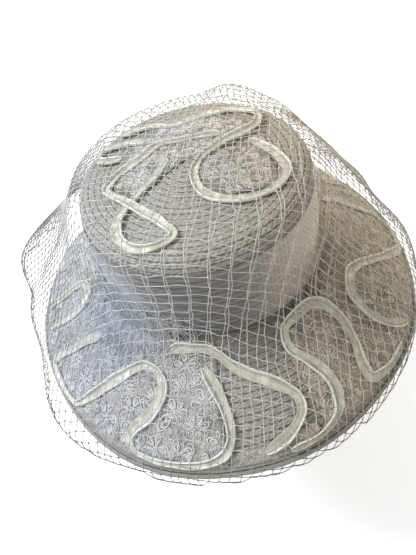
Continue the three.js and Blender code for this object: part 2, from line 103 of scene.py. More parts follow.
# Ribbons on the tip: at, out as a share of the edge's radius, over
RIBBON_EIGHT = [(42, .43, 0), (62, .36, 0), (95, .33, 0), (123, .42, 0), (151, .46, 0),
                (168, .6, 0), (179, .7, 0), (190, .7, .6), (207, .63, 1.1), (225, .62, .6),
                (241, .66, 0), (251, .77, 0), (245, .88, 0), (233, .93, 0), (221, .89, 0),
                (212, .76, 0), (207, .6, 0), (201, .43, 0), (190, .29, 0), (165, .22, 0),
                (139, .26, 0)]
RIBBON_OVAL = [(129, .87, 0), (112, .76, 0), (94, .61, 0), (81, .65, 0), (55, .8, 0),
               (41, .85, 0), (30, .79, .5), (22, .6, 1.1), (22, .44, 1.1), (20, .25, .5),
               (0, .1, 0), (279, .13, 0), (274, .34, 0), (286, .5, 0), (304, .67, 0),
               (320, .78, 0), (334, .81, 0), (345, .745, 0), (0, .63, 0), (14, .54, 0)]
RIBBON_CURL = [(127, .57, 0), (131, .68, 0), (138, .8, 0), (146, .89, 0), (153, .86, 0),
               (153, .75, 0), (149, .65, 0)]

# Ribbons on the brim: at, out as a share of the way from the crown to the rim
RIBBON_LEFT_BACK = [(175, .9), (176.5, .7), (177, .5), (178.5, .34), (184, .27), (188.5, .36),
                    (189, .52), (187, .7), (184.5, .88)]
RIBBON_LEFT = [(208, .33), (206.5, .39), (203.5, .5), (200.5, .66), (197, .83), (196.5, .925),
               (201.5, .945), (208, .95), (213, .93), (217, .79), (220.7, .64), (225, .49),
               (229, .38), (233, .32), (236.5, .32), (240, .37), (241.5, .465), (240.5, .57),
               (238, .68), (235, .78), (234, .86), (236, .92), (240, .94), (246, .945),
               (254, .935), (259.5, .89), (262, .8), (262.5, .7), (262, .6), (260.3, .47),
               (258, .355), (255.5, .27)]
RIBBON_FRONT = [(241, .15), (247, .12), (255, .12), (261, .17), (266, .27), (271, .36),
                (276.5, .45), (280.5, .54), (283, .65), (282, .75), (277.5, .84), (270, .915)]
RIBBON_RIGHT = [(276, .95), (284, .945), (290.5, .89), (293.5, .77), (294, .64), (292, .49),
                (288.5, .34), (289, .22), (294, .14), (303, .13), (309, .19), (311, .32),
                (310, .47), (307.5, .63), (304.5, .78), (304.5, .89), (311, .945), (319, .945)]
RIBBON_SIDE = [(326, .94), (322, .82), (319.5, .66), (320.5, .47), (324.5, .36), (330, .33),
               (336, .4), (341, .54), (347, .75), (353, .92), (361, .935), (367, .84),
               (370, .6), (374, .4), (373, .25)]
BACK_MEANDER = {"start": 28, "end": 159, "loops": 3.5, "middle": 0.58, "swing": 0.34,
                "bulge": 5, "rows": 28}

rng = np.random.default_rng(7)


# Surfaces of the hat. Azimuths are in degrees, and arrays of them are welcome.

def look_up(rows, column, degrees, round_table=True):
    at = np.array([row[0] for row in rows], float)
    value = np.array([row[column] for row in rows], float)
    degrees = np.asarray(degrees, float)
    if round_table:
        at = np.append(at, at[0] + 360)
        value = np.append(value, value[0])
        degrees = np.mod(degrees - at[0], 360) + at[0]
    i = np.clip(np.searchsorted(at, degrees, side="right") - 1, 0, len(at) - 2)
    t = np.clip((degrees - at[i]) / (at[i + 1] - at[i]), 0, 1)
    t = t * t * (3 - 2 * t)
    return value[i] * (1 - t) + value[i + 1] * t


def plan(degrees, radius, z=0.0):
    a = np.radians(degrees)
    return np.stack(np.broadcast_arrays(radius * np.cos(a), radius * np.sin(a), z), -1)


def rim_reach(degrees):
    a = np.radians(degrees)
    oval = 1 / np.hypot(np.cos(a) / (BRIM_WIDTH / 2), np.sin(a) / (BRIM_DEPTH / 2))
    return oval * look_up(RIM_WAVES, 1, degrees)


def rim_height(degrees):
    return -BRIM_DROP * look_up(RIM_WAVES, 2, degrees)


def brim_point(degrees, share):
    share = np.asarray(share, float)
    fall = BRIM_FIRST_SLOPE * share + (1 - BRIM_FIRST_SLOPE) * share ** 2
    radius = CROWN_RADIUS + (rim_reach(degrees) - CROWN_RADIUS) * share
    return plan(degrees, radius, rim_height(degrees) * fall)


def tip_height(radius):
    out = np.clip(radius - FLAT_RADIUS, 0, SHOULDER_RADIUS)
    shoulder = np.sqrt(SHOULDER_RADIUS ** 2 - out ** 2)
    dome = TIP_DOME * (1 + np.cos(np.pi * np.clip(radius / FLAT_RADIUS, 0, 1))) / 2
    return CROWN_HEIGHT + shoulder + dome


def tip_point(degrees, share):
    radius = np.asarray(share, float) * EDGE_RADIUS
    return plan(degrees, radius, tip_height(radius))


def crown_point(degrees, run):
    """run goes from the middle of the tip over the shoulder and down the wall"""
    run = np.asarray(run, float)
    turn = np.clip((run - FLAT_RADIUS) / SHOULDER_RADIUS, 0, np.pi / 2)
    down = np.clip(run - FLAT_RADIUS - SHOULDER_RUN, 0, None)
    radius = np.minimum(run, FLAT_RADIUS) + SHOULDER_RADIUS * np.sin(turn)
    radius = radius + CROWN_TAPER * down / CROWN_HEIGHT
    dome = TIP_DOME * (1 + np.cos(np.pi * np.clip(run / FLAT_RADIUS, 0, 1))) / 2
    z = CROWN_HEIGHT + SHOULDER_RADIUS * np.cos(turn) + dome - down
    return plan(degrees, radius, z)


def lifted(surface, degrees, share, lift, step=0.004):
    """points off a surface, square to its slope, and the way up there"""
    degrees, share, lift = np.broadcast_arrays(degrees, share, lift)
    here = surface(degrees, share)
    aside = surface(degrees + 0.4, share) - surface(degrees - 0.4, share)
    along = surface(degrees, share + step) - surface(degrees, np.maximum(share - step, 1e-4))
    up = np.cross(aside, along)
    up /= np.linalg.norm(up, axis=-1, keepdims=True) + 1e-12
    outward = np.sum(up * (here + [0, 0, 0.2]), -1, keepdims=True)
    up = np.where(outward < 0, -up, up)
    return here + up * lift[..., None], up


# The net's fall, from the peak to the hem

VEIL_SPACING = 3.0
VEIL_AZIMUTHS = np.arange(0, 360, VEIL_SPACING)
VEIL_STEPS = 140


def smooth_line(points, count):
    """centripetal Catmull-Rom through points of shape (lines, stations, 2)"""
    first = 2 * points[:, :1] - points[:, 1:2]
    last = 2 * points[:, -1:] - points[:, -2:-1]
    p = np.concatenate([first, points, last], axis=1)
    gap = np.sqrt(np.linalg.norm(np.diff(p, axis=1), axis=2))[..., None]
    spans = points.shape[1] - 1
    pieces = []
    for k in range(spans):
        x0, x1, x2, x3 = (p[:, k + j] for j in range(4))
        g0, g1, g2 = (gap[:, k + j] for j in range(3))
        m1 = ((x1 - x0) / g0 - (x2 - x0) / (g0 + g1) + (x2 - x1) / g1) * g1
        m2 = ((x2 - x1) / g1 - (x3 - x1) / (g1 + g2) + (x3 - x2) / g2) * g1
        t = np.linspace(0, 1, count, endpoint=k == spans - 1)[None, :, None]
        x1, x2, m1, m2 = (v[:, None] for v in (x1, x2, m1, m2))
        pieces.append(x1 + m1 * t + (-3 * x1 + 3 * x2 - 2 * m1 - m2) * t ** 2
                      + (2 * x1 - 2 * x2 + m1 + m2) * t ** 3)
    return np.concatenate(pieces, axis=1)


def veil_lines():
    d = VEIL_AZIMUTHS
    pull = look_up(VEIL_FALL, 1, d)[:, None]
    peak = VEIL_PEAK * look_up(VEIL_FALL, 2, d)
    hem = rim_reach(d) * (1 + look_up(VEIL_FALL, 3, d))
    rim_up = rim_height(d)
    top = CROWN_HEIGHT + SHOULDER_RADIUS + TIP_DOME + VEIL_CLEAR

    def pair(radius, z):
        return np.stack(np.broadcast_arrays(radius, z, d)[:2], -1)

    def tent(share):
        return edge * (1 - share) + over_rim * share

    edge = pair(EDGE_RADIUS + 1.1 * VEIL_CLEAR, CROWN_HEIGHT + 0.9 * VEIL_CLEAR)
    over_rim = pair(hem - 0.2 * VEIL_CLEAR, rim_up + 0.9 * VEIL_CLEAR)
    foot = pair(CROWN_RADIUS + 1.5 * VEIL_CLEAR, 2 * VEIL_CLEAR)
    half = pair(CROWN_RADIUS * 0.45 + hem * 0.55, 0.42 * rim_up + 1.25 * VEIL_CLEAR)
    stations = [pair(0, top + 0.4 * peak), pair(0.6 * edge[:, 0], top + peak),
                pair(EDGE_RADIUS, CROWN_HEIGHT + 2.3 * VEIL_CLEAR + 0.6 * peak), edge,
                foot * (1 - pull) + tent(0.4) * pull, half * (1 - pull) + tent(0.7) * pull,
                over_rim, pair(hem, rim_up - VEIL_HEM_DROP)]
    fine = smooth_line(np.stack(stations, 1), 30)
    run = np.concatenate([np.zeros((len(d), 1)),
                          np.cumsum(np.linalg.norm(np.diff(fine, axis=1), axis=2), 1)], 1)
    even = np.linspace(0, 1, VEIL_STEPS)
    lines = [np.stack([np.interp(even * r[-1], r, f[:, 0]), np.interp(even * r[-1], r, f[:, 1])], -1)
             for r, f in zip(run, fine)]
    return np.array(lines), run[:, -1]


VEIL_PROFILE, VEIL_LENGTH = veil_lines()


def veil_slot(degrees):
    """the two lines on either side of an azimuth, and how far it is from the first"""
    t = np.mod(degrees, 360) / VEIL_SPACING
    i = np.floor(t).astype(int) % len(VEIL_AZIMUTHS)
    return i, (i + 1) % len(VEIL_AZIMUTHS), t - np.floor(t)


def veil_length(degrees):
    i, j, f = veil_slot(degrees)
    return VEIL_LENGTH[i] * (1 - f) + VEIL_LENGTH[j] * f


def veil_point(degrees, share):
    i, j, f = veil_slot(degrees)
    f = f[..., None]
    s = np.clip(share, 0, 1) * (VEIL_STEPS - 1)
    k = np.clip(np.floor(s).astype(int), 0, VEIL_STEPS - 2)
    g = (s - k)[..., None]
    a = VEIL_PROFILE[i, k] * (1 - g) + VEIL_PROFILE[i, k + 1] * g
    b = VEIL_PROFILE[j, k] * (1 - g) + VEIL_PROFILE[j, k + 1] * g
    line = a * (1 - f) + b * f
    return plan(degrees, line[..., 0], line[..., 1])


# Meshes

def mesh_piece(name, points, faces=(), edges=(), attributes=None):
    mesh = bpy.data.meshes.new(name)
    mesh.from_pydata(np.asarray(points).reshape(-1, 3).tolist(), list(edges), list(faces))
    for key, values in (attributes or {}).items():
        values = np.asarray(values, float)
        if values.ndim == 1:
            layer = mesh.attributes.new(key, "FLOAT", "POINT")
            layer.data.foreach_set("value", values)
        else:
            layer = mesh.attributes.new(key, "FLOAT_VECTOR", "POINT")
            layer.data.foreach_set("vector", values.reshape(-1))
    piece = bpy.data.objects.new(name, mesh)
    bpy.context.scene.collection.objects.link(piece)
    return piece


def grid_faces(rows, columns, round_rows):
    i, j = np.meshgrid(np.arange(rows if round_rows else rows - 1),
                       np.arange(columns), indexing="ij")
    i2 = (i + 1) % rows
    j2 = (j + 1) % columns
    quads = np.stack([i * columns + j, i * columns + j2, i2 * columns + j2, i2 * columns + j], -1)
    return quads.reshape(-1, 4).tolist()


MERGE = 1e-5


def tidy_mesh(piece):
    """doubles at poles merged, faces pointing outwards, smooth shading"""
    b = bmesh.new()
    b.from_mesh(piece.data)
    bmesh.ops.remove_doubles(b, verts=b.verts, dist=MERGE)
    bmesh.ops.dissolve_degenerate(b, edges=b.edges, dist=MERGE / 2)
    bmesh.ops.recalc_face_normals(b, faces=b.faces)
    b.to_mesh(piece.data)
    b.free()
    piece.data.polygons.foreach_set("use_smooth", [True] * len(piece.data.polygons))
    return piece


def there_and_back(out, back):
    """closed cross-sections: along one side, and back along the other"""
    return np.concatenate([out, back[:, ::-1]], axis=1)


def closed_skin(name, sections, round_way, **attributes):
    """a body from closed cross-sections, of shape (sections, points, 3)"""
    rows, columns = sections.shape[:2]
    faces = grid_faces(rows, columns, round_way)
    if not round_way:
        faces.append(list(range(columns))[::-1])
        faces.append([(rows - 1) * columns + j for j in range(columns)])
    attributes = {key: values.reshape(-1) for key, values in attributes.items()}
    return tidy_mesh(mesh_piece(name, sections, faces, attributes=attributes))


def finish(piece, material, node):
    if material is not None:
        piece.data.materials.append(material)
    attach(piece, "root")
    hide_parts(node)


# Geometry node trees

def new_tree(name, sizes):
    tree = bpy.data.node_groups.new(name, "GeometryNodeTree")
    tree.interface.new_socket("Geometry", in_out="INPUT", socket_type="NodeSocketGeometry")
    for size, default in sizes.items():
        socket = tree.interface.new_socket(size, in_out="INPUT", socket_type="NodeSocketFloat")
        socket.default_value = default
    tree.interface.new_socket("Finish", in_out="INPUT", socket_type="NodeSocketMaterial")
    tree.interface.new_socket("Geometry", in_out="OUTPUT", socket_type="NodeSocketGeometry")
    return tree


def add(tree, kind, **values):
    """a node, with plain values for its inputs by name and for its own settings"""
    made = tree.nodes.new(kind)
    for key, value in values.items():
        if hasattr(made, key):
            setattr(made, key, value)
        else:
            made.inputs[key.replace("_", " ")].default_value = value
    return made


def wire(tree, start, end):
    tree.links.new(start, end)


def end_tree(tree, start, last):
    """what was made so far as real geometry, shaded smooth, in the finish that was given"""
    real = add(tree, "GeometryNodeRealizeInstances")
    smooth = add(tree, "GeometryNodeSetShadeSmooth")
    paint = add(tree, "GeometryNodeSetMaterial")
    end = tree.nodes.new("NodeGroupOutput")
    wire(tree, last, real.inputs["Geometry"])
    wire(tree, real.outputs["Geometry"], smooth.inputs["Geometry"])
    wire(tree, smooth.outputs["Geometry"], paint.inputs["Geometry"])
    wire(tree, start.outputs["Finish"], paint.inputs["Material"])
    wire(tree, paint.outputs["Geometry"], end.inputs["Geometry"])
    return tree


def thread_tree(sides):
    """threads along a mesh's edges, with a knot at each point marked as one"""
    tree = new_tree("thread_and_knots", {"Thread": 0.4 * MM, "Knot": 0.7 * MM})
    start = tree.nodes.new("NodeGroupInput")
    to_curve = add(tree, "GeometryNodeMeshToCurve")
    circle = add(tree, "GeometryNodeCurvePrimitiveCircle")
    circle.inputs["Resolution"].default_value = sides
    tube = add(tree, "GeometryNodeCurveToMesh", Fill_Caps=True)
    knot = add(tree, "GeometryNodeMeshCube")
    size = add(tree, "ShaderNodeCombineXYZ")
    knots = add(tree, "GeometryNodeInstanceOnPoints")
    marked = add(tree, "GeometryNodeInputNamedAttribute", data_type="FLOAT")
    marked.inputs["Name"].default_value = "knot"
    more = add(tree, "FunctionNodeCompare", data_type="FLOAT", operation="GREATER_THAN")
    more.inputs["B"].default_value = 0.5
    join = add(tree, "GeometryNodeJoinGeometry")
    wire(tree, start.outputs["Geometry"], to_curve.inputs["Mesh"])
    wire(tree, start.outputs["Thread"], circle.inputs["Radius"])
    wire(tree, to_curve.outputs["Curve"], tube.inputs["Curve"])
    wire(tree, circle.outputs["Curve"], tube.inputs["Profile Curve"])
    for side in "XYZ":
        wire(tree, start.outputs["Knot"], size.inputs[side])
    wire(tree, size.outputs["Vector"], knot.inputs["Size"])
    wire(tree, start.outputs["Geometry"], knots.inputs["Points"])
    wire(tree, knot.outputs["Mesh"], knots.inputs["Instance"])
    wire(tree, marked.outputs["Attribute"], more.inputs["A"])
    wire(tree, more.outputs["Result"], knots.inputs["Selection"])
    wire(tree, tube.outputs["Mesh"], join.inputs["Geometry"])
    wire(tree, knots.outputs["Instances"], join.inputs["Geometry"])
    return end_tree(tree, start, join.outputs["Geometry"])


def plait_tree():
    """a slanted strand of plait at each point, laid along its row"""
    tree = new_tree("plait_strands", {"Length": 3.2 * MM, "Width": 0.85 * MM, "Height": 0.55 * MM})
    start = tree.nodes.new("NodeGroupInput")
    strand = add(tree, "GeometryNodeMeshUVSphere", Segments=6, Rings=4, Radius=1.0)
    size = add(tree, "ShaderNodeCombineXYZ")
    along = add(tree, "GeometryNodeInputNamedAttribute", data_type="FLOAT_VECTOR")
    along.inputs["Name"].default_value = "along"
    up = add(tree, "GeometryNodeInputNamedAttribute", data_type="FLOAT_VECTOR")
    up.inputs["Name"].default_value = "up"
    lay = add(tree, "FunctionNodeAlignRotationToVector", axis="Z", pivot_axis="AUTO")
    turn = add(tree, "FunctionNodeAlignRotationToVector", axis="X", pivot_axis="Z")
    place = add(tree, "GeometryNodeInstanceOnPoints")
    wire(tree, start.outputs["Length"], size.inputs["X"])
    wire(tree, start.outputs["Width"], size.inputs["Y"])
    wire(tree, start.outputs["Height"], size.inputs["Z"])
    wire(tree, up.outputs["Attribute"], lay.inputs["Vector"])
    wire(tree, lay.outputs["Rotation"], turn.inputs["Rotation"])
    wire(tree, along.outputs["Attribute"], turn.inputs["Vector"])
    wire(tree, turn.outputs["Rotation"], place.inputs["Rotation"])
    wire(tree, start.outputs["Geometry"], place.inputs["Points"])
    wire(tree, strand.outputs["Mesh"], place.inputs["Instance"])
    wire(tree, size.outputs["Vector"], place.inputs["Scale"])
    return end_tree(tree, start, place.outputs["Instances"])


def grown(piece, tree, material, **sizes):
    """the tree's result on a piece, as a plain mesh"""
    modifier = piece.modifiers.new("grow", "NODES")
    modifier.node_group = tree
    sockets = {item.name: item.identifier for item in tree.interface.items_tree
               if item.in_out == "INPUT"}
    for key, value in sizes.items():
        modifier[sockets[key]] = value
    modifier[sockets["Finish"]] = material
    graph = bpy.context.evaluated_depsgraph_get()
    mesh = bpy.data.meshes.new_from_object(piece.evaluated_get(graph), depsgraph=graph)
    piece.modifiers.clear()
    mesh.name = piece.name
    piece.data = mesh
    return piece


# Materials

def group(name, inputs, outputs):
    tree = bpy.data.node_groups.new(name, "ShaderNodeTree")
    for key, (kind, default) in inputs.items():
        socket = tree.interface.new_socket(key, in_out="INPUT", socket_type=kind)
        if default is not None:
            socket.default_value = default
    for key, kind in outputs.items():
        tree.interface.new_socket(key, in_out="OUTPUT", socket_type=kind)
    return tree, tree.nodes.new("NodeGroupInput"), tree.nodes.new("NodeGroupOutput")


class Nodes:
    """a shader tree under construction, with short names for what it is made of"""

    def __init__(self, tree):
        self.tree = tree

    def feed(self, socket, value):
        """a link from another node, or a plain value"""
        if hasattr(value, "is_output"):
            self.tree.links.new(value, socket)
        elif socket.type == "RGBA":
            socket.default_value = (*value, 1)
        else:
            socket.default_value = value

    def maths(self, operation, *values):
        node = self.tree.nodes.new("ShaderNodeMath")
        node.operation = operation
        for socket, value in zip(node.inputs, values):
            self.feed(socket, value)
        return node.outputs[0]

    def times(self, a, b):
        return self.maths("MULTIPLY", a, b)

    def plus(self, a, b):
        return self.maths("ADD", a, b)

    def rest(self, a):
        return self.maths("SUBTRACT", 1.0, a)

    def off_middle(self, a):
        """0 in the middle of each whole step, 0.5 at its ends"""
        return self.maths("ABSOLUTE", self.maths("SUBTRACT", self.maths("FRACT", a), 0.5))

    def mix(self, amount, a, b, blend="MIX"):
        node = self.tree.nodes.new("ShaderNodeMix")
        node.data_type = "RGBA"
        node.blend_type = blend
        for k, value in ((0, amount), (6, a), (7, b)):
            self.feed(node.inputs[k], value)
        return node.outputs[2]

    def ramp(self, value, low, high):
        """0 below low, 1 above high"""
        node = self.tree.nodes.new("ShaderNodeMapRange")
        node.interpolation_type = "SMOOTHSTEP"
        self.feed(node.inputs["Value"], value)
        node.inputs["From Min"].default_value = low
        node.inputs["From Max"].default_value = high
        return node.outputs["Result"]

    def noise(self, vector, scale, detail=2.0, rough=0.5):
        node = self.tree.nodes.new("ShaderNodeTexNoise")
        node.inputs["Scale"].default_value = scale
        node.inputs["Detail"].default_value = detail
        node.inputs["Roughness"].default_value = rough
        self.feed(node.inputs["Vector"], vector)
        return node.outputs["Fac"]

    def vector(self, *values):
        node = self.tree.nodes.new("ShaderNodeCombineXYZ")
        for socket, value in zip(node.inputs, values):
            self.feed(socket, value)
        return node.outputs[0]


def fading_and_painted_light_group():
    """the cloths' slow colour drift: cooler at the left; yellowed and darker at the right, partly age
    and partly painted shade; lighter again at the back right, as painted light; and the haze of loose
    tulle that spreads from the left foot of the band"""
    tree, start, end = group("uneven_fading_and_painted_light",
                             {"Colour": ("NodeSocketColor", (1, 1, 1, 1)),
                              "Cool": ("NodeSocketFloat", 0.5), "Warm": ("NodeSocketFloat", 0.5),
                              "Haze": ("NodeSocketFloat", 0.0),
                              "Place": ("NodeSocketVector", None)},
                             {"Colour": "NodeSocketColor"})
    n = Nodes(tree)
    split = tree.nodes.new("ShaderNodeSeparateXYZ")
    tree.links.new(start.outputs["Place"], split.inputs[0])
    blotch = n.noise(start.outputs["Place"], 18, 2)
    side = n.plus(split.outputs["X"], n.times(blotch, 0.06))
    left = n.rest(n.ramp(side, -0.12, 0.05))
    right = n.ramp(side, -0.01, 0.13)
    cool = n.mix(n.times(left, start.outputs["Cool"]), start.outputs["Colour"], (0.9, 0.97, 1.1),
                 "MULTIPLY")
    # painted shade, partly yellowing too: the right is made darker and warmer
    warm = n.mix(n.times(right, start.outputs["Warm"]), cool, (0.74, 0.665, 0.53), "MULTIPLY")
    # painted light: the back right is made lighter again
    back = n.ramp(n.plus(split.outputs["X"], n.times(split.outputs["Y"], 0.9)), 0.02, 0.13)
    warm = n.mix(n.times(back, start.outputs["Warm"]), warm, (1.35, 1.33, 1.25), "MULTIPLY")
    away = tree.nodes.new("ShaderNodeVectorMath")
    away.operation = "DISTANCE"
    tree.links.new(start.outputs["Place"], away.inputs[0])
    tree.links.new(n.vector(*HAZE_CENTRE), away.inputs[1])
    wisps = n.times(n.noise(start.outputs["Place"], 90, 4, 0.7), 0.05)
    near = n.rest(n.ramp(n.plus(away.outputs["Value"], wisps), 0.035, 0.1))
    veiled = n.mix(n.times(near, start.outputs["Haze"]), warm, (0.33, 0.395, 0.475))
    tree.links.new(veiled, end.inputs["Colour"])
    return tree


def fibre_group():
    """fine fibres that run along one way: a tone and a height"""
    tree, start, end = group("fibres",
                             {"Vector": ("NodeSocketVector", None),
                              "Scale": ("NodeSocketFloat", 1.0)},
                             {"Tone": "NodeSocketFloat", "Height": "NodeSocketFloat"})
    n = Nodes(tree)
    scaled = tree.nodes.new("ShaderNodeVectorMath")
    scaled.operation = "SCALE"
    tree.links.new(start.outputs["Vector"], scaled.inputs[0])
    tree.links.new(start.outputs["Scale"], scaled.inputs["Scale"])
    fine = n.noise(scaled.outputs[0], 900, 2, 0.6)
    coarse = n.noise(scaled.outputs[0], 220, 3, 0.6)
    tree.links.new(n.plus(n.times(fine, 0.4), n.times(coarse, 0.6)), end.inputs["Height"])
    tree.links.new(n.ramp(coarse, 0.32, 0.68), end.inputs["Tone"])
    return tree


HAZE_CENTRE = (-0.092, -0.05, 0.012)
FADING_AND_PAINTED_LIGHT = fading_and_painted_light_group()
FIBRES = fibre_group()
# how far apart the fine lines of each cloth are, and how dark the painted shade makes the straw at the
# crown's foot
TULLE_LINE = 1.5 * MM
LACE_LINE = 1.6 * MM
SATIN_TICK = 1.9 * MM
SLIT_SPACING = 6.0 * MM
STRAW_PAINTED_SHADE = 0.65


class Cloth(Nodes):
    """a material under construction: its tree, its shader and Object coordinates"""

    def __init__(self, name, rough, sheen=0.0, specular=0.3):
        self.material = bpy.data.materials.new(name)
        self.material.use_nodes = True
        super().__init__(self.material.node_tree)
        self.shader = self.tree.nodes["Principled BSDF"]
        self.shader.inputs["Roughness"].default_value = rough
        self.shader.inputs["Sheen Weight"].default_value = sheen
        self.shader.inputs["Specular IOR Level"].default_value = specular
        self.place = self.tree.nodes.new("ShaderNodeTexCoord").outputs["Object"]
        self.split = self.tree.nodes.new("ShaderNodeSeparateXYZ")
        self.tree.links.new(self.place, self.split.inputs[0])
        x, y = self.split.outputs["X"], self.split.outputs["Y"]
        self.around = self.maths("ARCTAN2", y, x)
        self.out = self.maths("SQRT", self.plus(self.times(x, x), self.times(y, y)))

    def attribute(self, name):
        node = self.tree.nodes.new("ShaderNodeAttribute")
        node.attribute_name = name
        return node.outputs["Fac"]

    def fibres(self, vector, scale):
        node = self.tree.nodes.new("ShaderNodeGroup")
        node.node_tree = FIBRES
        self.tree.links.new(vector, node.inputs["Vector"])
        node.inputs["Scale"].default_value = scale
        return node.outputs["Tone"], node.outputs["Height"]

    def colour(self, colour, cool, warm, haze=0.0):
        node = self.tree.nodes.new("ShaderNodeGroup")
        node.node_tree = FADING_AND_PAINTED_LIGHT
        self.feed(node.inputs["Colour"], colour)
        node.inputs["Cool"].default_value = cool
        node.inputs["Warm"].default_value = warm
        node.inputs["Haze"].default_value = haze
        self.tree.links.new(self.place, node.inputs["Place"])
        self.tree.links.new(node.outputs["Colour"], self.shader.inputs["Base Color"])

    def bump(self, height, distance, strength):
        node = self.tree.nodes.new("ShaderNodeBump")
        node.inputs["Distance"].default_value = distance
        node.inputs["Strength"].default_value = strength
        self.tree.links.new(height, node.inputs["Height"])
        self.tree.links.new(node.outputs["Normal"], self.shader.inputs["Normal"])


def painted_foot_shade(cloth, colour, inner, outer, amount):
    """darker towards the foot of the crown, less so at the right: painted shade where the crown shades
    the brim, and partly the tulle that lies over it
    """
    near = cloth.rest(cloth.ramp(cloth.out, inner, outer))
    right = cloth.ramp(cloth.split.outputs["X"], 0.04, 0.09)
    left = cloth.maths("SUBTRACT", amount, cloth.times(right, 0.8 * amount))
    return cloth.mix(cloth.times(near, left), colour, (0.15, 0.137, 0.125))


def straw_material(name, foot):
    """flat plaited rows: fine lines along each, and dark slits between two rows wherever the
    sewing lets them part"""
    c = Cloth(name, 0.62, sheen=0.2)
    row = c.maths("DIVIDE", c.attribute("run"), STRAW_ROW)
    number = c.maths("FLOOR", c.plus(row, 0.5))
    in_row = c.off_middle(row)
    length = c.times(c.around, c.out)
    step = c.plus(c.maths("DIVIDE", length, SLIT_SPACING), c.times(number, 0.46))
    step = c.off_middle(c.plus(step, c.times(c.noise(c.place, 130, 1), 0.9)))
    slit = c.times(c.ramp(in_row, 0.33, 0.46), c.rest(c.ramp(step, 0.24, 0.4)))
    lines = c.maths("SINE", c.times(row, 2 * math.pi * 4))
    tone, height = c.fibres(c.vector(length, c.times(row, 4 * STRAW_ROW)), 0.7)
    base = c.mix(tone, (0.28, 0.265, 0.235), (0.4, 0.38, 0.342))
    base = c.mix(c.ramp(lines, -0.9, -0.2), (0.215, 0.203, 0.18), base)
    dark = c.mix(slit, base, (0.12, 0.11, 0.095))
    # painted shade at the foot of the crown
    if foot:
        dark = painted_foot_shade(c, dark, 0.1, 0.13, STRAW_PAINTED_SHADE)
    c.colour(dark, 0.8, 0.9, 0.75)
    c.bump(c.plus(height, c.times(lines, 0.3)), 0.5 * MM, 0.6)
    return c.material


def plait_material(name, foot):
    c = Cloth(name, 0.55, sheen=0.2)
    tone, height = c.fibres(c.place, 0.8)
    base = c.mix(tone, (0.34, 0.322, 0.285), (0.47, 0.45, 0.407))
    # painted shade at the foot of the crown
    if foot:
        base = painted_foot_shade(c, base, 0.1, 0.13, STRAW_PAINTED_SHADE)
    c.colour(base, 0.8, 0.9, 0.75)
    c.bump(height, 0.3 * MM, 0.6)
    return c.material


def tulle_material():
    c = Cloth("pleated_tulle", 0.7, sheen=0.4)
    run = c.attribute("run")
    tone, height = c.fibres(c.vector(c.times(c.around, 0.010), run), 1.5)
    base = c.mix(tone, (0.18, 0.168, 0.158), (0.28, 0.265, 0.25))
    # painted shade: darker in the pleats' valleys
    fold = c.ramp(c.attribute("fold"), 0.1, 0.9)
    base = c.mix(fold, c.mix(1.0, base, (0.75, 0.75, 0.77), "MULTIPLY"), base)
    upright = c.maths("SINE", c.times(c.around, 150.0))
    waver = c.times(c.noise(c.place, 25), 4 * MM)
    lines = c.maths("SINE", c.times(c.plus(run, waver), 2 * math.pi / TULLE_LINE))
    base = c.mix(c.ramp(lines, -0.9, 0.3), c.mix(1.0, base, (0.7, 0.7, 0.7), "MULTIPLY"), base)
    side = c.times(c.ramp(c.split.outputs["X"], 0.0, 0.085), 0.8)
    weave = c.mix(c.ramp(upright, -0.4, 0.8), (0.62, 0.55, 0.42), (0.8, 0.72, 0.57))
    base = c.mix(side, base, weave)
    c.colour(base, 1.0, 0.35, 0.95)
    c.bump(height, 0.5 * MM, 0.6)
    return c.material


def tulle_fan_material():
    c = Cloth("sheer_tulle", 0.6, sheen=0.4)
    run = c.attribute("run")
    tone, height = c.fibres(c.vector(c.times(c.around, 0.3), c.times(run, 0.15)), 1.1)
    base = c.mix(tone, (0.25, 0.27, 0.32), (0.34, 0.37, 0.43))
    c.colour(base, 0.0, 0.0)
    c.bump(height, 0.4 * MM, 0.5)
    return c.material


def lace_ground_material():
    c = Cloth("lace_ground", 0.8, sheen=0.2)
    row = c.attribute("run")
    lines = c.maths("SINE", c.times(row, 2 * math.pi / LACE_LINE))
    tone, height = c.fibres(c.vector(c.times(c.around, 0.12), row), 1.0)
    patchy = c.noise(c.place, 60, 3, 0.6)
    loops = c.off_middle(c.times(c.noise(c.place, 150, 1.2), 8.0))
    looped = c.ramp(loops, 0.28, 0.42)
    base = c.mix(c.ramp(patchy, 0.38, 0.62), (0.15, 0.144, 0.137), (0.4, 0.357, 0.315))
    base = c.mix(c.times(tone, 0.45), base, (0.47, 0.445, 0.415))
    base = c.mix(c.times(looped, 0.8), base, (0.56, 0.54, 0.505))
    # painted shade at the foot of the crown, over the lace too
    c.colour(painted_foot_shade(c, base, 0.1, 0.12, 0.5), 1.0, 1.0, 0.8)
    height = c.plus(height, c.times(looped, 0.8))
    c.bump(c.plus(height, c.times(lines, 0.25)), 0.5 * MM, 0.8)
    return c.material


def lace_cord_material():
    c = Cloth("lace_cord", 0.6, sheen=0.3)
    tone, height = c.fibres(c.place, 1.4)
    base = c.mix(tone, (0.55, 0.535, 0.51), (0.73, 0.71, 0.68))
    c.colour(base, 1.0, 1.0, 0.7)
    c.bump(height, 0.2 * MM, 0.5)
    return c.material


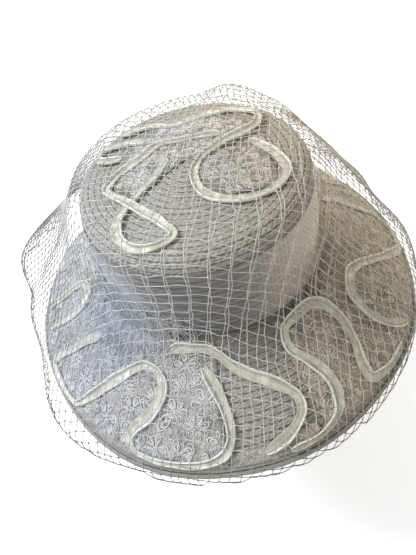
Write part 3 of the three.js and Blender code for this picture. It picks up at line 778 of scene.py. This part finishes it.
def satin_material(name, cool, warm, painted_light_level):
    """satin ribbon: across runs from 0 at the low edge to 1 at the high one, which carries a painted
    highlight, with painted shade in the trough next to it
    """
    c = Cloth(name, 0.4, sheen=0.2, specular=0.4)
    across = c.attribute("across")
    along = c.attribute("along")
    tone, height = c.fibres(c.vector(c.times(along, 0.5), c.times(across, 0.02)), 0.5)
    ticks = c.maths("SINE", c.times(along, 2 * math.pi / SATIN_TICK))
    puckers = c.noise(c.vector(along, c.times(across, 0.004)), 110, 2)
    base = c.mix(tone, (0.4, 0.385, 0.325), (0.59, 0.575, 0.5))
    base = c.mix(c.ramp(puckers, 0.45, 0.7), base, (0.68, 0.68, 0.6))
    # a painted highlight along the high edge, and painted shade in the trough next to it
    edge = c.ramp(across, 0.8, 0.88)
    low = c.rest(c.ramp(across, 0.06, 0.16))
    trough_painted_shade = c.times(c.ramp(across, 0.5, 0.74), c.rest(c.ramp(across, 0.74, 0.82)))
    base = c.mix(c.times(trough_painted_shade, 0.6), base, (0.2, 0.19, 0.13))
    base = c.mix(c.times(low, 0.5), base, (0.5, 0.49, 0.41))
    base = c.mix(c.times(edge, 0.85), base, (0.8, 0.83, 0.78))
    # the whole satin made lighter or darker: for the rim binding, painted shade all over
    base = c.mix(1.0, base, (painted_light_level, painted_light_level, 0.98 * painted_light_level), "MULTIPLY")
    c.colour(base, cool, warm, 0.35)
    c.bump(c.plus(height, c.times(ticks, 0.14)), 0.3 * MM, 0.5)
    return c.material


def net_material():
    c = Cloth("net_thread", 0.5, sheen=0.2)
    tone, height = c.fibres(c.place, 1.0)
    base = c.mix(tone, (0.38, 0.362, 0.33), (0.56, 0.54, 0.505))
    # painted shade: the threads hanging beyond the rim, and those at the far left, are darkened
    left = c.ramp(c.times(c.split.outputs["X"], -1.0), 0.11, 0.15)
    left = c.times(left, c.ramp(c.split.outputs["Z"], -0.03, 0.0))
    hanging_in_painted_shade = c.maths("MAXIMUM", c.ramp(c.out, 0.166, 0.184), left)
    outer = c.times(hanging_in_painted_shade, 0.8)
    c.colour(c.mix(outer, base, (0.075, 0.066, 0.046)), 0.6, 0.5)
    c.bump(height, 0.1 * MM, 0.4)
    return c.material


STRAW = straw_material("straw_rows", False)
PLAIT = plait_material("straw_plait", False)
BRIM_STRAW = straw_material("brim_straw_rows", True)
BRIM_PLAIT = plait_material("brim_straw_plait", True)
TULLE = tulle_material()
TULLE_SHEER = tulle_fan_material()
LACE_GROUND = lace_ground_material()
LACE_CORD = lace_cord_material()
SATIN = satin_material("ribbon_satin", 0.45, 0.5, 1.04)
# the ribbon's satin darkened all over: painted shade
BINDING_IN_PAINTED_SHADE = satin_material("binding_satin_in_painted_shade", 0.4, 1.0, 0.36)
NET = net_material()
THREADS = thread_tree(4)
CORDS = thread_tree(3)
PLAITS = plait_tree()


def joined(name, pieces):
    """one piece from several, which keep their own materials"""
    for o in bpy.context.view_layer.objects:
        o.select_set(False)
    with bpy.context.temp_override(active_object=pieces[0], selected_editable_objects=pieces,
                                   object=pieces[0], selected_objects=pieces):
        bpy.ops.object.join()
    pieces[0].name = name
    pieces[0].data.name = name
    return pieces[0]


# Straw crown and brim

PLAIT_STEP = 5 * MM
PLAIT_LINES = np.array([-0.95, 0.95]) * MM
PLAIT_SLANT = 12
PLAIT_SINK = -0.3 * MM
# azimuths between which the brim has its plait
BRIM_PLAIT_LIMITS = (257.5, 289.5)


def row_relief(run):
    """how far a sewn row's surface lies below its crest"""
    f = np.mod(run / STRAW_ROW, 1.0)
    return -0.6 * MM * (1 - np.sqrt(np.clip(1 - (2 * f - 1) ** 2, 0, 1)))


def plait_points(surface, degrees, share, lift):
    """points along rows with the way of a strand of plait, which slants across its row"""
    here, up = lifted(surface, degrees, share, lift)
    ahead = surface(degrees + 0.3, share) - here
    ahead /= np.linalg.norm(ahead, axis=-1, keepdims=True)
    side = np.cross(up, ahead)
    a = np.radians(rng.normal(PLAIT_SLANT, 3, len(here)))[:, None]
    return here, ahead * np.cos(a) + side * np.sin(a), up


def straw_body(name, surface, runs, shares, step, strands, finishes):
    azimuths = np.arange(0, 360, step)
    d, s = np.meshgrid(azimuths, shares, indexing="ij")
    r = np.broadcast_to(runs, d.shape)
    outer, _ = lifted(surface, d, s, row_relief(r))
    inner, _ = lifted(surface, d, s, -STRAW_WALL - row_relief(r) * 0.5)
    body = closed_skin(name, there_and_back(outer, inner), True, run=there_and_back(r, r))
    body.data.materials.append(finishes[0])
    here, along, up = strands
    plait = mesh_piece(name + "_plait", here, attributes={"along": along, "up": up})
    return joined(name, [body, grown(plait, PLAITS, finishes[1])])


def along_row(radius, first=0.0, last=360.0):
    """azimuths of a row's strands"""
    step = math.degrees(PLAIT_STEP / radius)
    count = max(5, int(round((last - first) / step)))
    places = np.arange(count) + rng.uniform(0, 1) + rng.normal(0, 0.06, count)
    return first + places * (last - first) / count


def crown():
    end = FLAT_RADIUS + SHOULDER_RUN + CROWN_HEIGHT - 0.3 * MM
    runs = np.linspace(0.0, end, int(round(end / STRAW_ROW)) * 4 + 1)
    runs[0] = 0.02 * MM
    degrees, share = [], []
    for middle in np.arange(STRAW_ROW / 2, FLAT_RADIUS + SHOULDER_RUN + 8 * MM, STRAW_ROW):
        for run in middle + PLAIT_LINES:
            at = along_row(float(np.hypot(*crown_point(0.0, run)[:2])))
            degrees.append(at)
            share.append(run + rng.normal(0, 0.1 * MM, len(at)))
    points = plait_points(crown_point, np.concatenate(degrees), np.concatenate(share), PLAIT_SINK)
    body = straw_body("crown_straw", crown_point, runs, runs, 3, points, (STRAW, PLAIT))
    finish(body, None, "crown")


def brim():
    shares = np.linspace(0, 1, 19 * 6 + 1)
    length = np.linalg.norm(np.diff(brim_point(270.0, np.linspace(0, 1, 60)), axis=0), axis=1).sum()
    rows = round(length / STRAW_ROW)
    runs = shares * rows * STRAW_ROW
    degrees, share = [], []
    for middle in (np.arange(1, rows - 1) + 0.5) * STRAW_ROW:
        for run in middle + PLAIT_LINES:
            s = run / runs[-1]
            at = along_row(float(np.hypot(*brim_point(272.0, s)[:2])), *BRIM_PLAIT_LIMITS)
            degrees.append(at)
            share.append(np.full(len(at), s))
    points = plait_points(brim_point, np.concatenate(degrees), np.concatenate(share), PLAIT_SINK)
    body = straw_body("brim_straw", brim_point, runs, shares, 2, points, (BRIM_STRAW, BRIM_PLAIT))
    finish(body, None, "brim")


# Pleated band and its fan

def band():
    azimuths = np.arange(0, 360, 1.5)
    levels = np.linspace(0, 1, 131)
    d, t = np.meshgrid(azimuths, levels, indexing="ij")
    z = 0.6 * MM + BAND_HEIGHT * t
    a = np.radians(d)
    drift = 0.05 * np.sin(2 * a + 1) + 0.03 * np.sin(5 * a) + 0.02 * np.sin(11 * a + 2)
    phase = 2 * math.pi * (13 * t + 3 * drift)
    crease = 0.5 + 0.5 * np.sin(phase)
    fold = crease ** 0.6 * (0.75 + 0.25 * np.sin(3.1 * phase + 4 * a))
    wall = CROWN_RADIUS - CROWN_TAPER * z / CROWN_HEIGHT
    outer = plan(d, wall + 0.8 * MM + 1.3 * MM * fold, z)
    inner = plan(d, wall + 0.3 * MM, z)
    piece = closed_skin("tulle_band", there_and_back(outer, inner), True,
                        run=there_and_back(z, z), fold=there_and_back(fold, fold))
    finish(piece, TULLE, "crown_band")


# metres of weave to a share of 1 of any patch, about the way from the band to the rim
PATCH_RUN = 0.095
FAN_LIFT = RIBBON_LIFT - 0.2 * MM
FAN_THICKNESS = 0.4 * MM


def patch_grid(rows, step, across):
    at = np.arange(rows[0][0], rows[-1][0] + step / 2, step)
    low = look_up(rows, 1, at, False)
    high = look_up(rows, 2, at, False)
    t = np.linspace(0, 1, across)
    d = np.repeat(at[:, None], across, 1)
    s = low[:, None] + (high - low)[:, None] * t
    return d, s, t


def patch(name, rows, surface, step, across, lift, thickness, material, relief=None):
    d, s, t = patch_grid(rows, step, across)
    extra = relief(d, s, t) if relief else np.zeros_like(d)
    below, _ = lifted(surface, d, s, lift)
    above, _ = lifted(surface, d, s, lift + thickness + extra)
    piece = closed_skin(name, there_and_back(below, above), False,
                        run=there_and_back(s, s) * PATCH_RUN)
    piece.data.materials.append(material)
    return piece


# at, spread, count: where the loose threads gather
WISPS = [(219, 14, 700), (334, 17, 330)]
WISP_POINTS = 7
WISP_THREAD = 0.2 * MM


def foot_point(degrees, share, lift):
    """over the brim, and for shares near 0 and below it up the band"""
    on_brim = brim_point(degrees, np.clip(share, 0.05, 1)) + [0, 0, lift]
    on_band = plan(degrees, CROWN_RADIUS + 1.8 * MM + lift, 4 * MM - 90 * MM * (share - 0.05))
    return np.where((share > 0.05)[:, None], on_brim, on_band)


def wisps():
    """fine loose threads, tangled over the foot of the band"""
    points, edges = [], []
    t = np.linspace(0, 1, WISP_POINTS)
    middles = [(at, spread) for at, spread, count in WISPS for _ in range(count)]
    for k, (middle, spread) in enumerate(middles):
        at = rng.normal(middle, spread) + t * rng.normal(0, 9)
        bend = np.sin(t * rng.uniform(1, 5)) * rng.normal(0, 2.5)
        share = rng.normal(0, 0.16) + t * rng.uniform(0.05, 0.3)
        points.append(foot_point(at + bend, np.clip(share, -0.4, 0.5), rng.uniform(1, 3) * MM))
        edges += [(k * WISP_POINTS + j, k * WISP_POINTS + j + 1) for j in range(WISP_POINTS - 1)]
    piece = mesh_piece("tulle_wisps", np.concatenate(points), edges=edges,
                       attributes={"knot": np.zeros(len(middles) * WISP_POINTS)})
    grown(piece, CORDS, LACE_CORD, Thread=WISP_THREAD, Knot=WISP_THREAD)
    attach(piece, "root")


def fan():
    wave = lambda d, s, t: 0.5 * MM * (1 + np.sin(np.radians(d) * 95)) * np.sin(np.pi * t)
    piece = patch("tulle_fan_sheer", TULLE_FAN, brim_point, 0.5, 24, FAN_LIFT, FAN_THICKNESS,
                  TULLE_SHEER, wave)
    finish(piece, None, "tulle_fan")


# Satin ribbons

# across the ribbon from its low edge to its high one: place, height
RIBBON_SECTION = [(-1.0, 0.0), (-1.01, 0.9), (-0.94, 1.45), (-0.84, 1.3), (-0.66, 0.8),
                  (-0.2, 0.5), (0.3, 0.55), (0.58, 0.9), (0.68, 1.9), (0.76, 2.6), (0.9, 2.65),
                  (0.99, 2.0), (1.01, 0.9), (1.0, 0.0)]


def ribbon_path(rows, surface, step=1.4 * MM):
    stations = np.array([[*plan(row[0], row[1])[:2], row[2] if len(row) > 2 else 0.0]
                         for row in rows])
    fine = smooth_line(stations[None], 40)[0]
    degrees = np.degrees(np.arctan2(fine[:, 1], fine[:, 0]))
    share = np.hypot(fine[:, 0], fine[:, 1])
    ground = surface(degrees, share)
    run = np.concatenate([[0], np.cumsum(np.linalg.norm(np.diff(ground, axis=0), axis=1))])
    even = np.linspace(0, run[-1], int(run[-1] / step) + 2)
    fine = np.stack([np.interp(even, run, fine[:, k]) for k in range(3)], 1)
    degrees = np.degrees(np.arctan2(fine[:, 1], fine[:, 0]))
    share = np.hypot(fine[:, 0], fine[:, 1])
    over = np.clip(fine[:, 2], 0, 1.05)
    centre, up = lifted(surface, degrees, share, RIBBON_LIFT + CROSSING_LIFT * over)
    rim = share if surface is brim_point else share * 0
    return centre, up, even, rim


def ribbon(name, rows, surface, high_side, width):
    centre, up, run, rim = ribbon_path(rows, surface)
    ahead = np.gradient(centre, axis=0)
    aside = np.cross(ahead, up)
    aside /= np.linalg.norm(aside, axis=1, keepdims=True)
    swell = 0.92 + 0.16 * np.sin(run / (13 * MM) + 2.2) + 0.05 * np.sin(run / (4.1 * MM))
    swell *= 1 - 0.42 * np.clip((rim - 0.87) / 0.07, 0, 1)
    swell *= 0.45 + 0.55 * np.clip(np.minimum(run, run[-1] - run) / (7 * MM), 0, 1) ** 0.7
    place = np.array([p for p, _ in RIBBON_SECTION]) * width / 2 * high_side * swell[:, None]
    height = np.array([h for _, h in RIBBON_SECTION]) * MM
    ripple = 1 + 0.12 * np.sin(run / (4.3 * MM)) * np.sin(run / (17 * MM) + 1)
    taper = np.clip(np.minimum(run, run[-1] - run) / (5 * MM), 0, 1) ** 0.5 * 0.45 + 0.55
    sections = (centre[:, None] + aside[:, None] * place[..., None]
                + up[:, None] * height[None, :, None] * (ripple * taper)[:, None, None])
    across = np.broadcast_to([(p + 1) / 2 for p, _ in RIBBON_SECTION], sections.shape[:2])
    along = np.broadcast_to(run[:, None], sections.shape[:2])
    piece = closed_skin(name, sections, False, across=across, along=along)
    finish(piece, SATIN, name.replace("satin_", "ribbon_"))


def meander(start, end, loops, middle, swing, bulge, rows):
    t = np.linspace(0, 1, rows + 1)
    at = start + (end - start) * t - bulge * np.sin(4 * math.pi * loops * t)
    return list(zip(at, middle + swing * np.sin(2 * math.pi * loops * t)))


def ribbons():
    for name, rows in (("satin_eight", RIBBON_EIGHT), ("satin_oval", RIBBON_OVAL)):
        ribbon(name, rows, tip_point, 1, TIP_RIBBON)
    ribbon("satin_curl", RIBBON_CURL, tip_point, -1, TIP_RIBBON)
    ribbon("satin_left_back", RIBBON_LEFT_BACK, brim_point, -1, TIP_RIBBON)
    for name, rows in (("satin_left", RIBBON_LEFT),
                       ("satin_front", RIBBON_FRONT), ("satin_right", RIBBON_RIGHT),
                       ("satin_side", RIBBON_SIDE), ("satin_back", meander(**BACK_MEANDER))):
        ribbon(name, rows, brim_point, -1, BRIM_RIBBON)


def rim_binding():
    """the brim's edge, bound in the same ribbon, darkened all over as painted shade, with a painted
    highlight along its fold on top
    """
    d = np.arange(0, 360, 0.75)
    edge, up = lifted(brim_point, d, np.ones_like(d), -STRAW_WALL / 2)
    away = plan(d, 1.0)
    away -= up * np.sum(away * up, -1, keepdims=True)
    away /= np.linalg.norm(away, axis=-1, keepdims=True)
    middle = edge + away * 1.9 * MM
    turn = np.radians(np.arange(0, 360, 30))
    wide = 1.9 * MM * (1 + 0.06 * np.sin(np.radians(d) * 61))
    sections = (middle[:, None] + away[:, None] * (np.cos(turn) * wide[:, None])[..., None]
                + up[:, None] * (np.sin(turn) * 1.3 * MM)[None, :, None])
    across = np.broadcast_to(0.5 + 0.5 * np.sin(turn), sections.shape[:2])
    run = np.concatenate([[0], np.cumsum(np.linalg.norm(np.diff(middle, axis=0), axis=1))])
    along = np.broadcast_to(run[:, None], sections.shape[:2])
    piece = closed_skin("rim_binding", sections, True, across=across, along=along)
    finish(piece, BINDING_IN_PAINTED_SHADE, "rim_cord")


# Lace: cords laid in loops, leaves and stems on a fine ground. Patterns are in millimetres.

def turned(points, degrees, scale=1.0):
    a = math.radians(degrees)
    return points @ np.array([[math.cos(a), math.sin(a)], [-math.sin(a), math.cos(a)]]) * scale


def petal(reach, start, width, count=14):
    t = np.linspace(0, 2 * math.pi, count, endpoint=False)
    x = start + (reach - start) * (1 - np.cos(t)) / 2
    y = width * np.sin(t) * (0.55 + 0.45 * (1 - np.cos(t)) / 2)
    return np.stack([x, y], 1)


def coil(inner, outer, turns, count=18):
    t = np.linspace(0, 1, count)
    r = inner + (outer - inner) * t
    a = 2 * math.pi * turns * t
    return np.stack([r * np.cos(a), r * np.sin(a)], 1)


def flower(petals=6, full=10.5):
    loops = []
    for k in range(petals):
        turn = 360 * k / petals + rng.normal(0, 5)
        reach = full * rng.uniform(0.78, 1.06)
        loops.append((turned(petal(reach, 2.6, 0.27 * reach), turn), True))
        loops.append((turned(petal(0.78 * reach, 3.6, 0.13 * reach, 10), turn), True))
    loops.append((coil(0.4, 2.2, 1.6), False))
    return loops


def leaf(length=15, width=3.4, veins=4):
    t = np.linspace(0, math.pi, 11)
    upper = np.stack([length * (1 - np.cos(t)) / 2, width * np.sin(t) ** 1.3], 1)
    lower = upper[::-1][1:-1] * [1, -1]
    loops = [(np.concatenate([upper, lower]), True),
             (np.array([[0.5, 0], [length / 3, 0.2], [2 * length / 3, -0.1], [length - 1, 0]]), False)]
    for k in range(veins):
        x = length * (0.2 + 0.6 * k / max(1, veins - 1))
        for side in (1, -1):
            loops.append((np.array([[x, 0], [x + 1.3, 0.45 * width * side],
                                    [x + 2.4, 0.75 * width * side]]), False))
    return loops


def stem(length=24, sway=5.0):
    t = np.linspace(0, 1, 14)
    line = np.stack([length * (t - 0.5), sway * np.sin(2 * math.pi * t)], 1)
    slope = np.gradient(line, axis=0)
    side = np.stack([-slope[:, 1], slope[:, 0]], 1)
    side /= np.linalg.norm(side, axis=1, keepdims=True)
    curl = coil(2.6, 0.5, 1.3, 12)
    return [(line + side * 0.75, False), (line - side * 0.75, False),
            (curl + line[-1] + [0.4, 2.3], False), (-curl + line[0] - [0.4, 2.3], False)]


def rosette(reach=4.4):
    t = np.linspace(0, 2 * math.pi, 22, endpoint=False)
    r = reach * (0.9 + 0.1 * np.cos(7 * t))
    return [(coil(0.4, 0.62 * reach, 1.8), False),
            (np.stack([r * np.cos(t), r * np.sin(t)], 1), True)]


def scallop(reach=6.0):
    return [(petal(reach, 0.6, 0.36 * reach), True), (petal(0.72 * reach, 1.4, 0.17 * reach, 9), True),
            (np.array([[0.8, 0], [0.5 * reach, 0.1], [0.92 * reach, 0]]), False)]


def lace_cords(name, motifs, lay, thread):
    """motifs: paths, place, turn, scale. lay puts a point in millimetres on the hat."""
    points, edges = [], []
    total = 0
    for paths, place, turn, scale in motifs:
        for path, closed in paths:
            local = turned(path, turn, scale) * MM
            spot, keep = lay(place, local)
            if keep.mean() < 0.999:
                continue
            n = len(spot)
            points.append(spot)
            edges += [(total + k, total + k + 1) for k in range(n - 1)]
            if closed:
                edges.append((total + n - 1, total))
            total += n
    points = np.concatenate(points)
    piece = mesh_piece(name, points, edges=edges, attributes={"knot": np.zeros(total)})
    return grown(piece, CORDS, LACE_CORD, Thread=thread, Knot=thread)


def lay_on_brim(place, local):
    degrees, share = place
    here = brim_point(degrees, share)
    radius = math.hypot(here[0], here[1])
    span = float(np.linalg.norm(brim_point(degrees, 1.0) - brim_point(degrees, 0.0)))
    s = share + local[:, 1] / span
    local_radius = radius * (1 + (s - share) * 0.6)
    at = degrees + np.degrees(local[:, 0] / local_radius)
    turn = np.mod(at + 73.3, 360) - 73.3
    low, high = look_up(BRIM_LACE, 1, turn, False), look_up(BRIM_LACE, 2, turn, False)
    on_lace = (turn < 259.5) & (s > low + 0.01) & (s < high - 0.01)
    front = (turn > 262.5) & (turn < 284.5) & (s < 0.96)
    on_front = front & (s > look_up(FRONT_LACE, 1, turn, False) + 0.015)
    ripple = 0.12 * MM * np.sin(900 * local[:, 0] + 700 * local[:, 1])
    return lifted(brim_point, at, s, LACE_LIFT + 0.85 * MM + ripple)[0], on_lace | on_front


def lay_on_tip(place, local):
    x, y = place[0] + local[:, 0], place[1] + local[:, 1]
    share = np.hypot(x, y) / EDGE_RADIUS
    at = np.degrees(np.arctan2(y, x))
    turn = np.mod(at + 78, 360) - 78
    low, high = look_up(CROWN_LACE, 1, turn, False), look_up(CROWN_LACE, 2, turn, False)
    keep = (turn < 203) & (share > low + 0.02) & (share < high - 0.02)
    ripple = 0.12 * MM * np.sin(900 * local[:, 0] + 700 * local[:, 1])
    return lifted(tip_point, at, share, LACE_LIFT + 0.85 * MM + ripple)[0], keep


def scatter(kinds, pick, place, crowding):
    """motifs dropped one by one where there's room for them"""
    motifs, centres, sizes = [], np.zeros((0, 3)), np.zeros(0)
    for make, size, tries in kinds:
        for _ in range(tries):
            spot = pick()
            centre = place(spot)
            if len(centres) and (np.linalg.norm(centres - centre, axis=1)
                                 < crowding * (sizes + size) * MM).any():
                continue
            centres = np.vstack([centres, centre])
            sizes = np.append(sizes, size)
            motifs.append((make(), spot, rng.uniform(0, 360), rng.uniform(0.92, 1.08)))
    return motifs


LACE_KINDS = [(lambda: flower(int(rng.integers(5, 8))), 9.2, 900), (stem, 6.8, 600),
              (lambda: leaf(14, 3.4, 2), 5.0, 900), (rosette, 3.4, 900),
              (lambda: leaf(7, 2.4, 0), 2.8, 900)]


SCALLOPS = 76
BRIM_CROWDING = 0.93
TIP_CROWDING = 0.78
BRIM_GROUND = 0.55 * MM
TIP_GROUND = 0.4 * MM
TIP_GROUND_LIFT = LACE_LIFT + 0.5 * MM
CORD_LIFT = 0.62 * MM


def brim_motifs():
    def pick():
        return rng.uniform(-74, 286), rng.uniform(0.13, 0.88) ** 0.9

    def place(spot):
        return brim_point(*spot)

    motifs = [(scallop(6.5), (360 * k / SCALLOPS, 0.925), -90 + rng.uniform(-22, 22), 1.0)
              for k in range(SCALLOPS)]
    return motifs + scatter(LACE_KINDS, pick, place, BRIM_CROWDING)


def tip_motifs():
    def pick():
        return rng.uniform(-70, 70) * MM, rng.uniform(-70, 70) * MM

    def place(spot):
        return np.array([spot[0], spot[1], 0.0])

    return scatter(LACE_KINDS, pick, place, TIP_CROWDING)


def lace():
    ground = patch("brim_lace_ground", BRIM_LACE, brim_point, 2.0, 30, LACE_LIFT, BRIM_GROUND,
                   LACE_GROUND)
    cords = lace_cords("brim_lace_cords", brim_motifs(), lay_on_brim, CORD_LIFT)
    piece = joined("brim_lace_sheet", [ground, cords])
    finish(piece, None, "brim_lace")
    # the area given isn't the cut's, which is 0.0686 square metres
    front = patch("brim_front_lace_sheet", FRONT_LACE, brim_point, 1.0, 6, LACE_LIFT, BRIM_GROUND,
                  LACE_GROUND)
    finish(front, None, "brim_lace_front")
    # the area given isn't the cut's, which is 0.00077 square metres
    ground = patch("tip_lace_ground", CROWN_LACE, tip_point, 2.0, 40, TIP_GROUND_LIFT, TIP_GROUND,
                   LACE_GROUND)
    cords = lace_cords("tip_lace_cords", tip_motifs(), lay_on_tip, CORD_LIFT)
    tip = joined("tip_lace_sheet", [ground, cords])
    finish(tip, None, "crown_lace")


# The net

NET_CELL = 10.5 * MM
NET_TURN = -19
NET_SLACK = 1.28
# the cloth's own reach used up at a share of the way down the fall: it is gathered on the tip
NET_LAY = [(0, 0), (0.17, 0.25), (0.3, 0.39), (0.52, 0.61), (1, 1), (1.2, 1.14)]
# how far it is drawn out towards the front, on the tip and at the hem, and then off the sides
NET_FRONT_STRETCH = (2, 10)
NET_SIDE_CREEP = (1, 5)
NET_PAIRING = 0.4
NET_STRAND_STEPS = 2
NET_THREAD = 0.35 * MM
NET_KNOT = 1.0 * MM


def net_place(spot):
    """where a point of the flat net comes to lie: azimuth, and share of the way down"""
    lay = np.array(NET_LAY)
    at = np.degrees(np.arctan2(spot[..., 1], spot[..., 0]))
    out = np.hypot(spot[..., 0], spot[..., 1]) / NET_SLACK
    share = np.interp(out / veil_length(at), lay[:, 1], lay[:, 0])
    draw = NET_FRONT_STRETCH[0] + (NET_FRONT_STRETCH[1] - NET_FRONT_STRETCH[0]) * share
    creep = NET_SIDE_CREEP[0] + (NET_SIDE_CREEP[1] - NET_SIDE_CREEP[0]) * share
    away = np.radians(at - 270)
    at = at + draw * np.sin(away) + creep * np.sin(2 * away)
    return at, np.interp(out / veil_length(at), lay[:, 1], lay[:, 0])


def net():
    """a square-celled net with its strands running down the front. It is gathered on the tip,
    and down the front of the crown its strands draw together in pairs."""
    count = int(NET_SLACK * VEIL_LENGTH.max() / NET_CELL) + 1
    j, i = np.meshgrid(np.arange(-count, count + 1), np.arange(-count, count + 1), indexing="ij")
    a = math.radians(NET_TURN)
    turn = np.array([[math.cos(a), math.sin(a)], [-math.sin(a), math.cos(a)]])
    at, share = net_place(np.stack([i, j], -1) * NET_CELL @ turn)
    front = np.clip(1.6 * np.exp(-((np.mod(at, 360) - 278) / 42) ** 2), 0, 1)
    paired = front * np.clip(1.8 * np.exp(-((share - 0.42) / 0.15) ** 2), 0, 1) * NET_PAIRING
    spot = np.stack([i + paired * (1 - 2 * (i % 2)), j + 0.0], -1) * NET_CELL
    spot += rng.normal(0, 0.8 * MM, spot.shape)
    spot += 1.6 * MM * np.stack([np.sin(spot[..., 1] * 61 + 1), np.sin(spot[..., 0] * 53)], -1)
    spot = spot @ turn
    at, share = net_place(spot)
    held = share < 1.0
    index = -np.ones(held.shape, int)
    index[held] = np.arange(held.sum())
    points, knots, edges = [veil_point(at[held], share[held])], [np.ones(held.sum())], []
    total = int(held.sum())
    ends = np.zeros(held.shape, int)
    for down, right in ((0, 1), (1, 0)):
        first = np.stack(np.nonzero(held[:held.shape[0] - down, :held.shape[1] - right]), 1)
        second = first + [down, right]
        ok = held[second[:, 0], second[:, 1]]
        first, second = tuple(first[ok].T), tuple(second[ok].T)
        bow = rng.normal(0, 0.5 * MM, (ok.sum(), 2))
        last = index[first]
        for k in range(1, NET_STRAND_STEPS):
            t = k / NET_STRAND_STEPS
            middle = spot[first] * (1 - t) + spot[second] * t + bow
            points.append(veil_point(*net_place(middle)))
            knots.append(np.zeros(len(middle)))
            here = total + np.arange(len(middle))
            total += len(middle)
            edges += list(zip(last.tolist(), here.tolist()))
            last = here
        edges += list(zip(last.tolist(), index[second].tolist()))
        np.add.at(ends, first, 1)
        np.add.at(ends, second, 1)
    rim = held & (ends < 4)
    order = np.argsort(np.mod(at[rim], 360))
    ring = index[rim][order]
    ring_at, ring_share = np.mod(at[rim], 360)[order], share[rim][order]
    t = np.array([0.25, 0.5, 0.75])
    for k in range(len(ring)):
        n = (k + 1) % len(ring)
        gap = (ring_at[n] - ring_at[k]) % 360
        low = ring_share[k] * (1 - t) + ring_share[n] * t + 0.05 * t * (1 - t) * min(gap, 10) / 5
        points.append(veil_point(ring_at[k] + gap * t, np.minimum(low, 1)))
        knots.append(np.zeros(3))
        edges += [(int(ring[k]), total), (total, total + 1), (total + 1, total + 2),
                  (total + 2, int(ring[n]))]
        total += 3
    piece = mesh_piece("draped_net", np.concatenate(points), edges=edges,
                       attributes={"knot": np.concatenate(knots)})
    grown(piece, THREADS, NET, Thread=NET_THREAD, Knot=NET_KNOT)
    finish(piece, None, "veil")


# Camera, floor and light

CAMERA_RISE = 46.94
CAMERA_ROLL = -14.72
CAMERA_AWAY = 0.47694
PHOTO_HEIGHT = 555
FOCAL_PIXELS = 550
CENTRE_RIGHT, CENTRE_UP = 3.05, 32.82
SENSOR = 36
DAYLIGHT = 0.74
# place in metres, size in metres, watts, colour
KEY_LIGHT = ((-0.85, 0.15, 1.1), 0.6, 22, (0.94, 0.97, 1.0))
WARM_LIGHT = ((0.9, 1.1, 0.6), 0.7, 7.0, (1.0, 0.93, 0.84))
FLOOR_CORNERS = [(-6, -6, -0.3), (6, -6, -0.3), (6, 6, -0.3), (-6, 6, -0.3)]


def camera():
    rise, roll = math.radians(CAMERA_RISE), math.radians(CAMERA_ROLL)
    back = np.array([0, -math.cos(rise), math.sin(rise)])
    level = np.array([1.0, 0, 0])
    upright = np.cross(level, -back)
    right = math.cos(roll) * level + math.sin(roll) * upright
    up = -math.sin(roll) * level + math.cos(roll) * upright
    lens = bpy.data.cameras.new("studio_camera")
    lens.sensor_width = SENSOR
    lens.lens = FOCAL_PIXELS / PHOTO_HEIGHT * SENSOR
    lens.shift_x = -CENTRE_RIGHT / PHOTO_HEIGHT
    lens.shift_y = -CENTRE_UP / PHOTO_HEIGHT
    stand = bpy.data.objects.new("studio_camera", lens)
    frame_axes = np.eye(4)
    frame_axes[:3, 0], frame_axes[:3, 1], frame_axes[:3, 2] = right, up, back
    frame_axes[:3, 3] = back * CAMERA_AWAY
    stand.matrix_world = Matrix(frame_axes.tolist())
    bpy.context.scene.collection.objects.link(stand)
    bpy.context.scene.camera = stand


def light(name, place, size, watts, colour):
    lamp = bpy.data.lights.new(name, "AREA")
    lamp.shape = "DISK"
    lamp.size = size
    lamp.energy = watts
    lamp.color = colour
    stand = bpy.data.objects.new(name, lamp)
    stand.location = place
    aim = np.array(place) / np.linalg.norm(place)
    stand.rotation_euler = Vector(aim).to_track_quat("Z", "Y").to_euler()
    bpy.context.scene.collection.objects.link(stand)


def studio():
    light("key_softbox", *KEY_LIGHT)
    light("warm_softbox", *WARM_LIGHT)
    world = bpy.data.worlds.new("studio")
    world.use_nodes = True
    sky = world.node_tree.nodes["Background"].inputs
    sky["Color"].default_value = (1, 1, 1, 1)
    sky["Strength"].default_value = DAYLIGHT
    bpy.context.scene.world = world
    bpy.context.scene.view_settings.view_transform = "Standard"
    floor = mesh_piece("floor", FLOOR_CORNERS, [(0, 1, 2, 3)])
    pale = bpy.data.materials.new("pale_floor")
    pale.use_nodes = True
    paint = pale.node_tree.nodes["Principled BSDF"].inputs
    paint["Base Color"].default_value = (0.95, 0.95, 0.95, 1)
    paint["Roughness"].default_value = 0.9
    paint["Emission Color"].default_value = (1, 1, 1, 1)
    paint["Emission Strength"].default_value = 0.2
    floor.data.materials.append(pale)


camera()
studio()
crown()
brim()
band()
fan()
wisps()
lace()
ribbons()
rim_binding()
net()
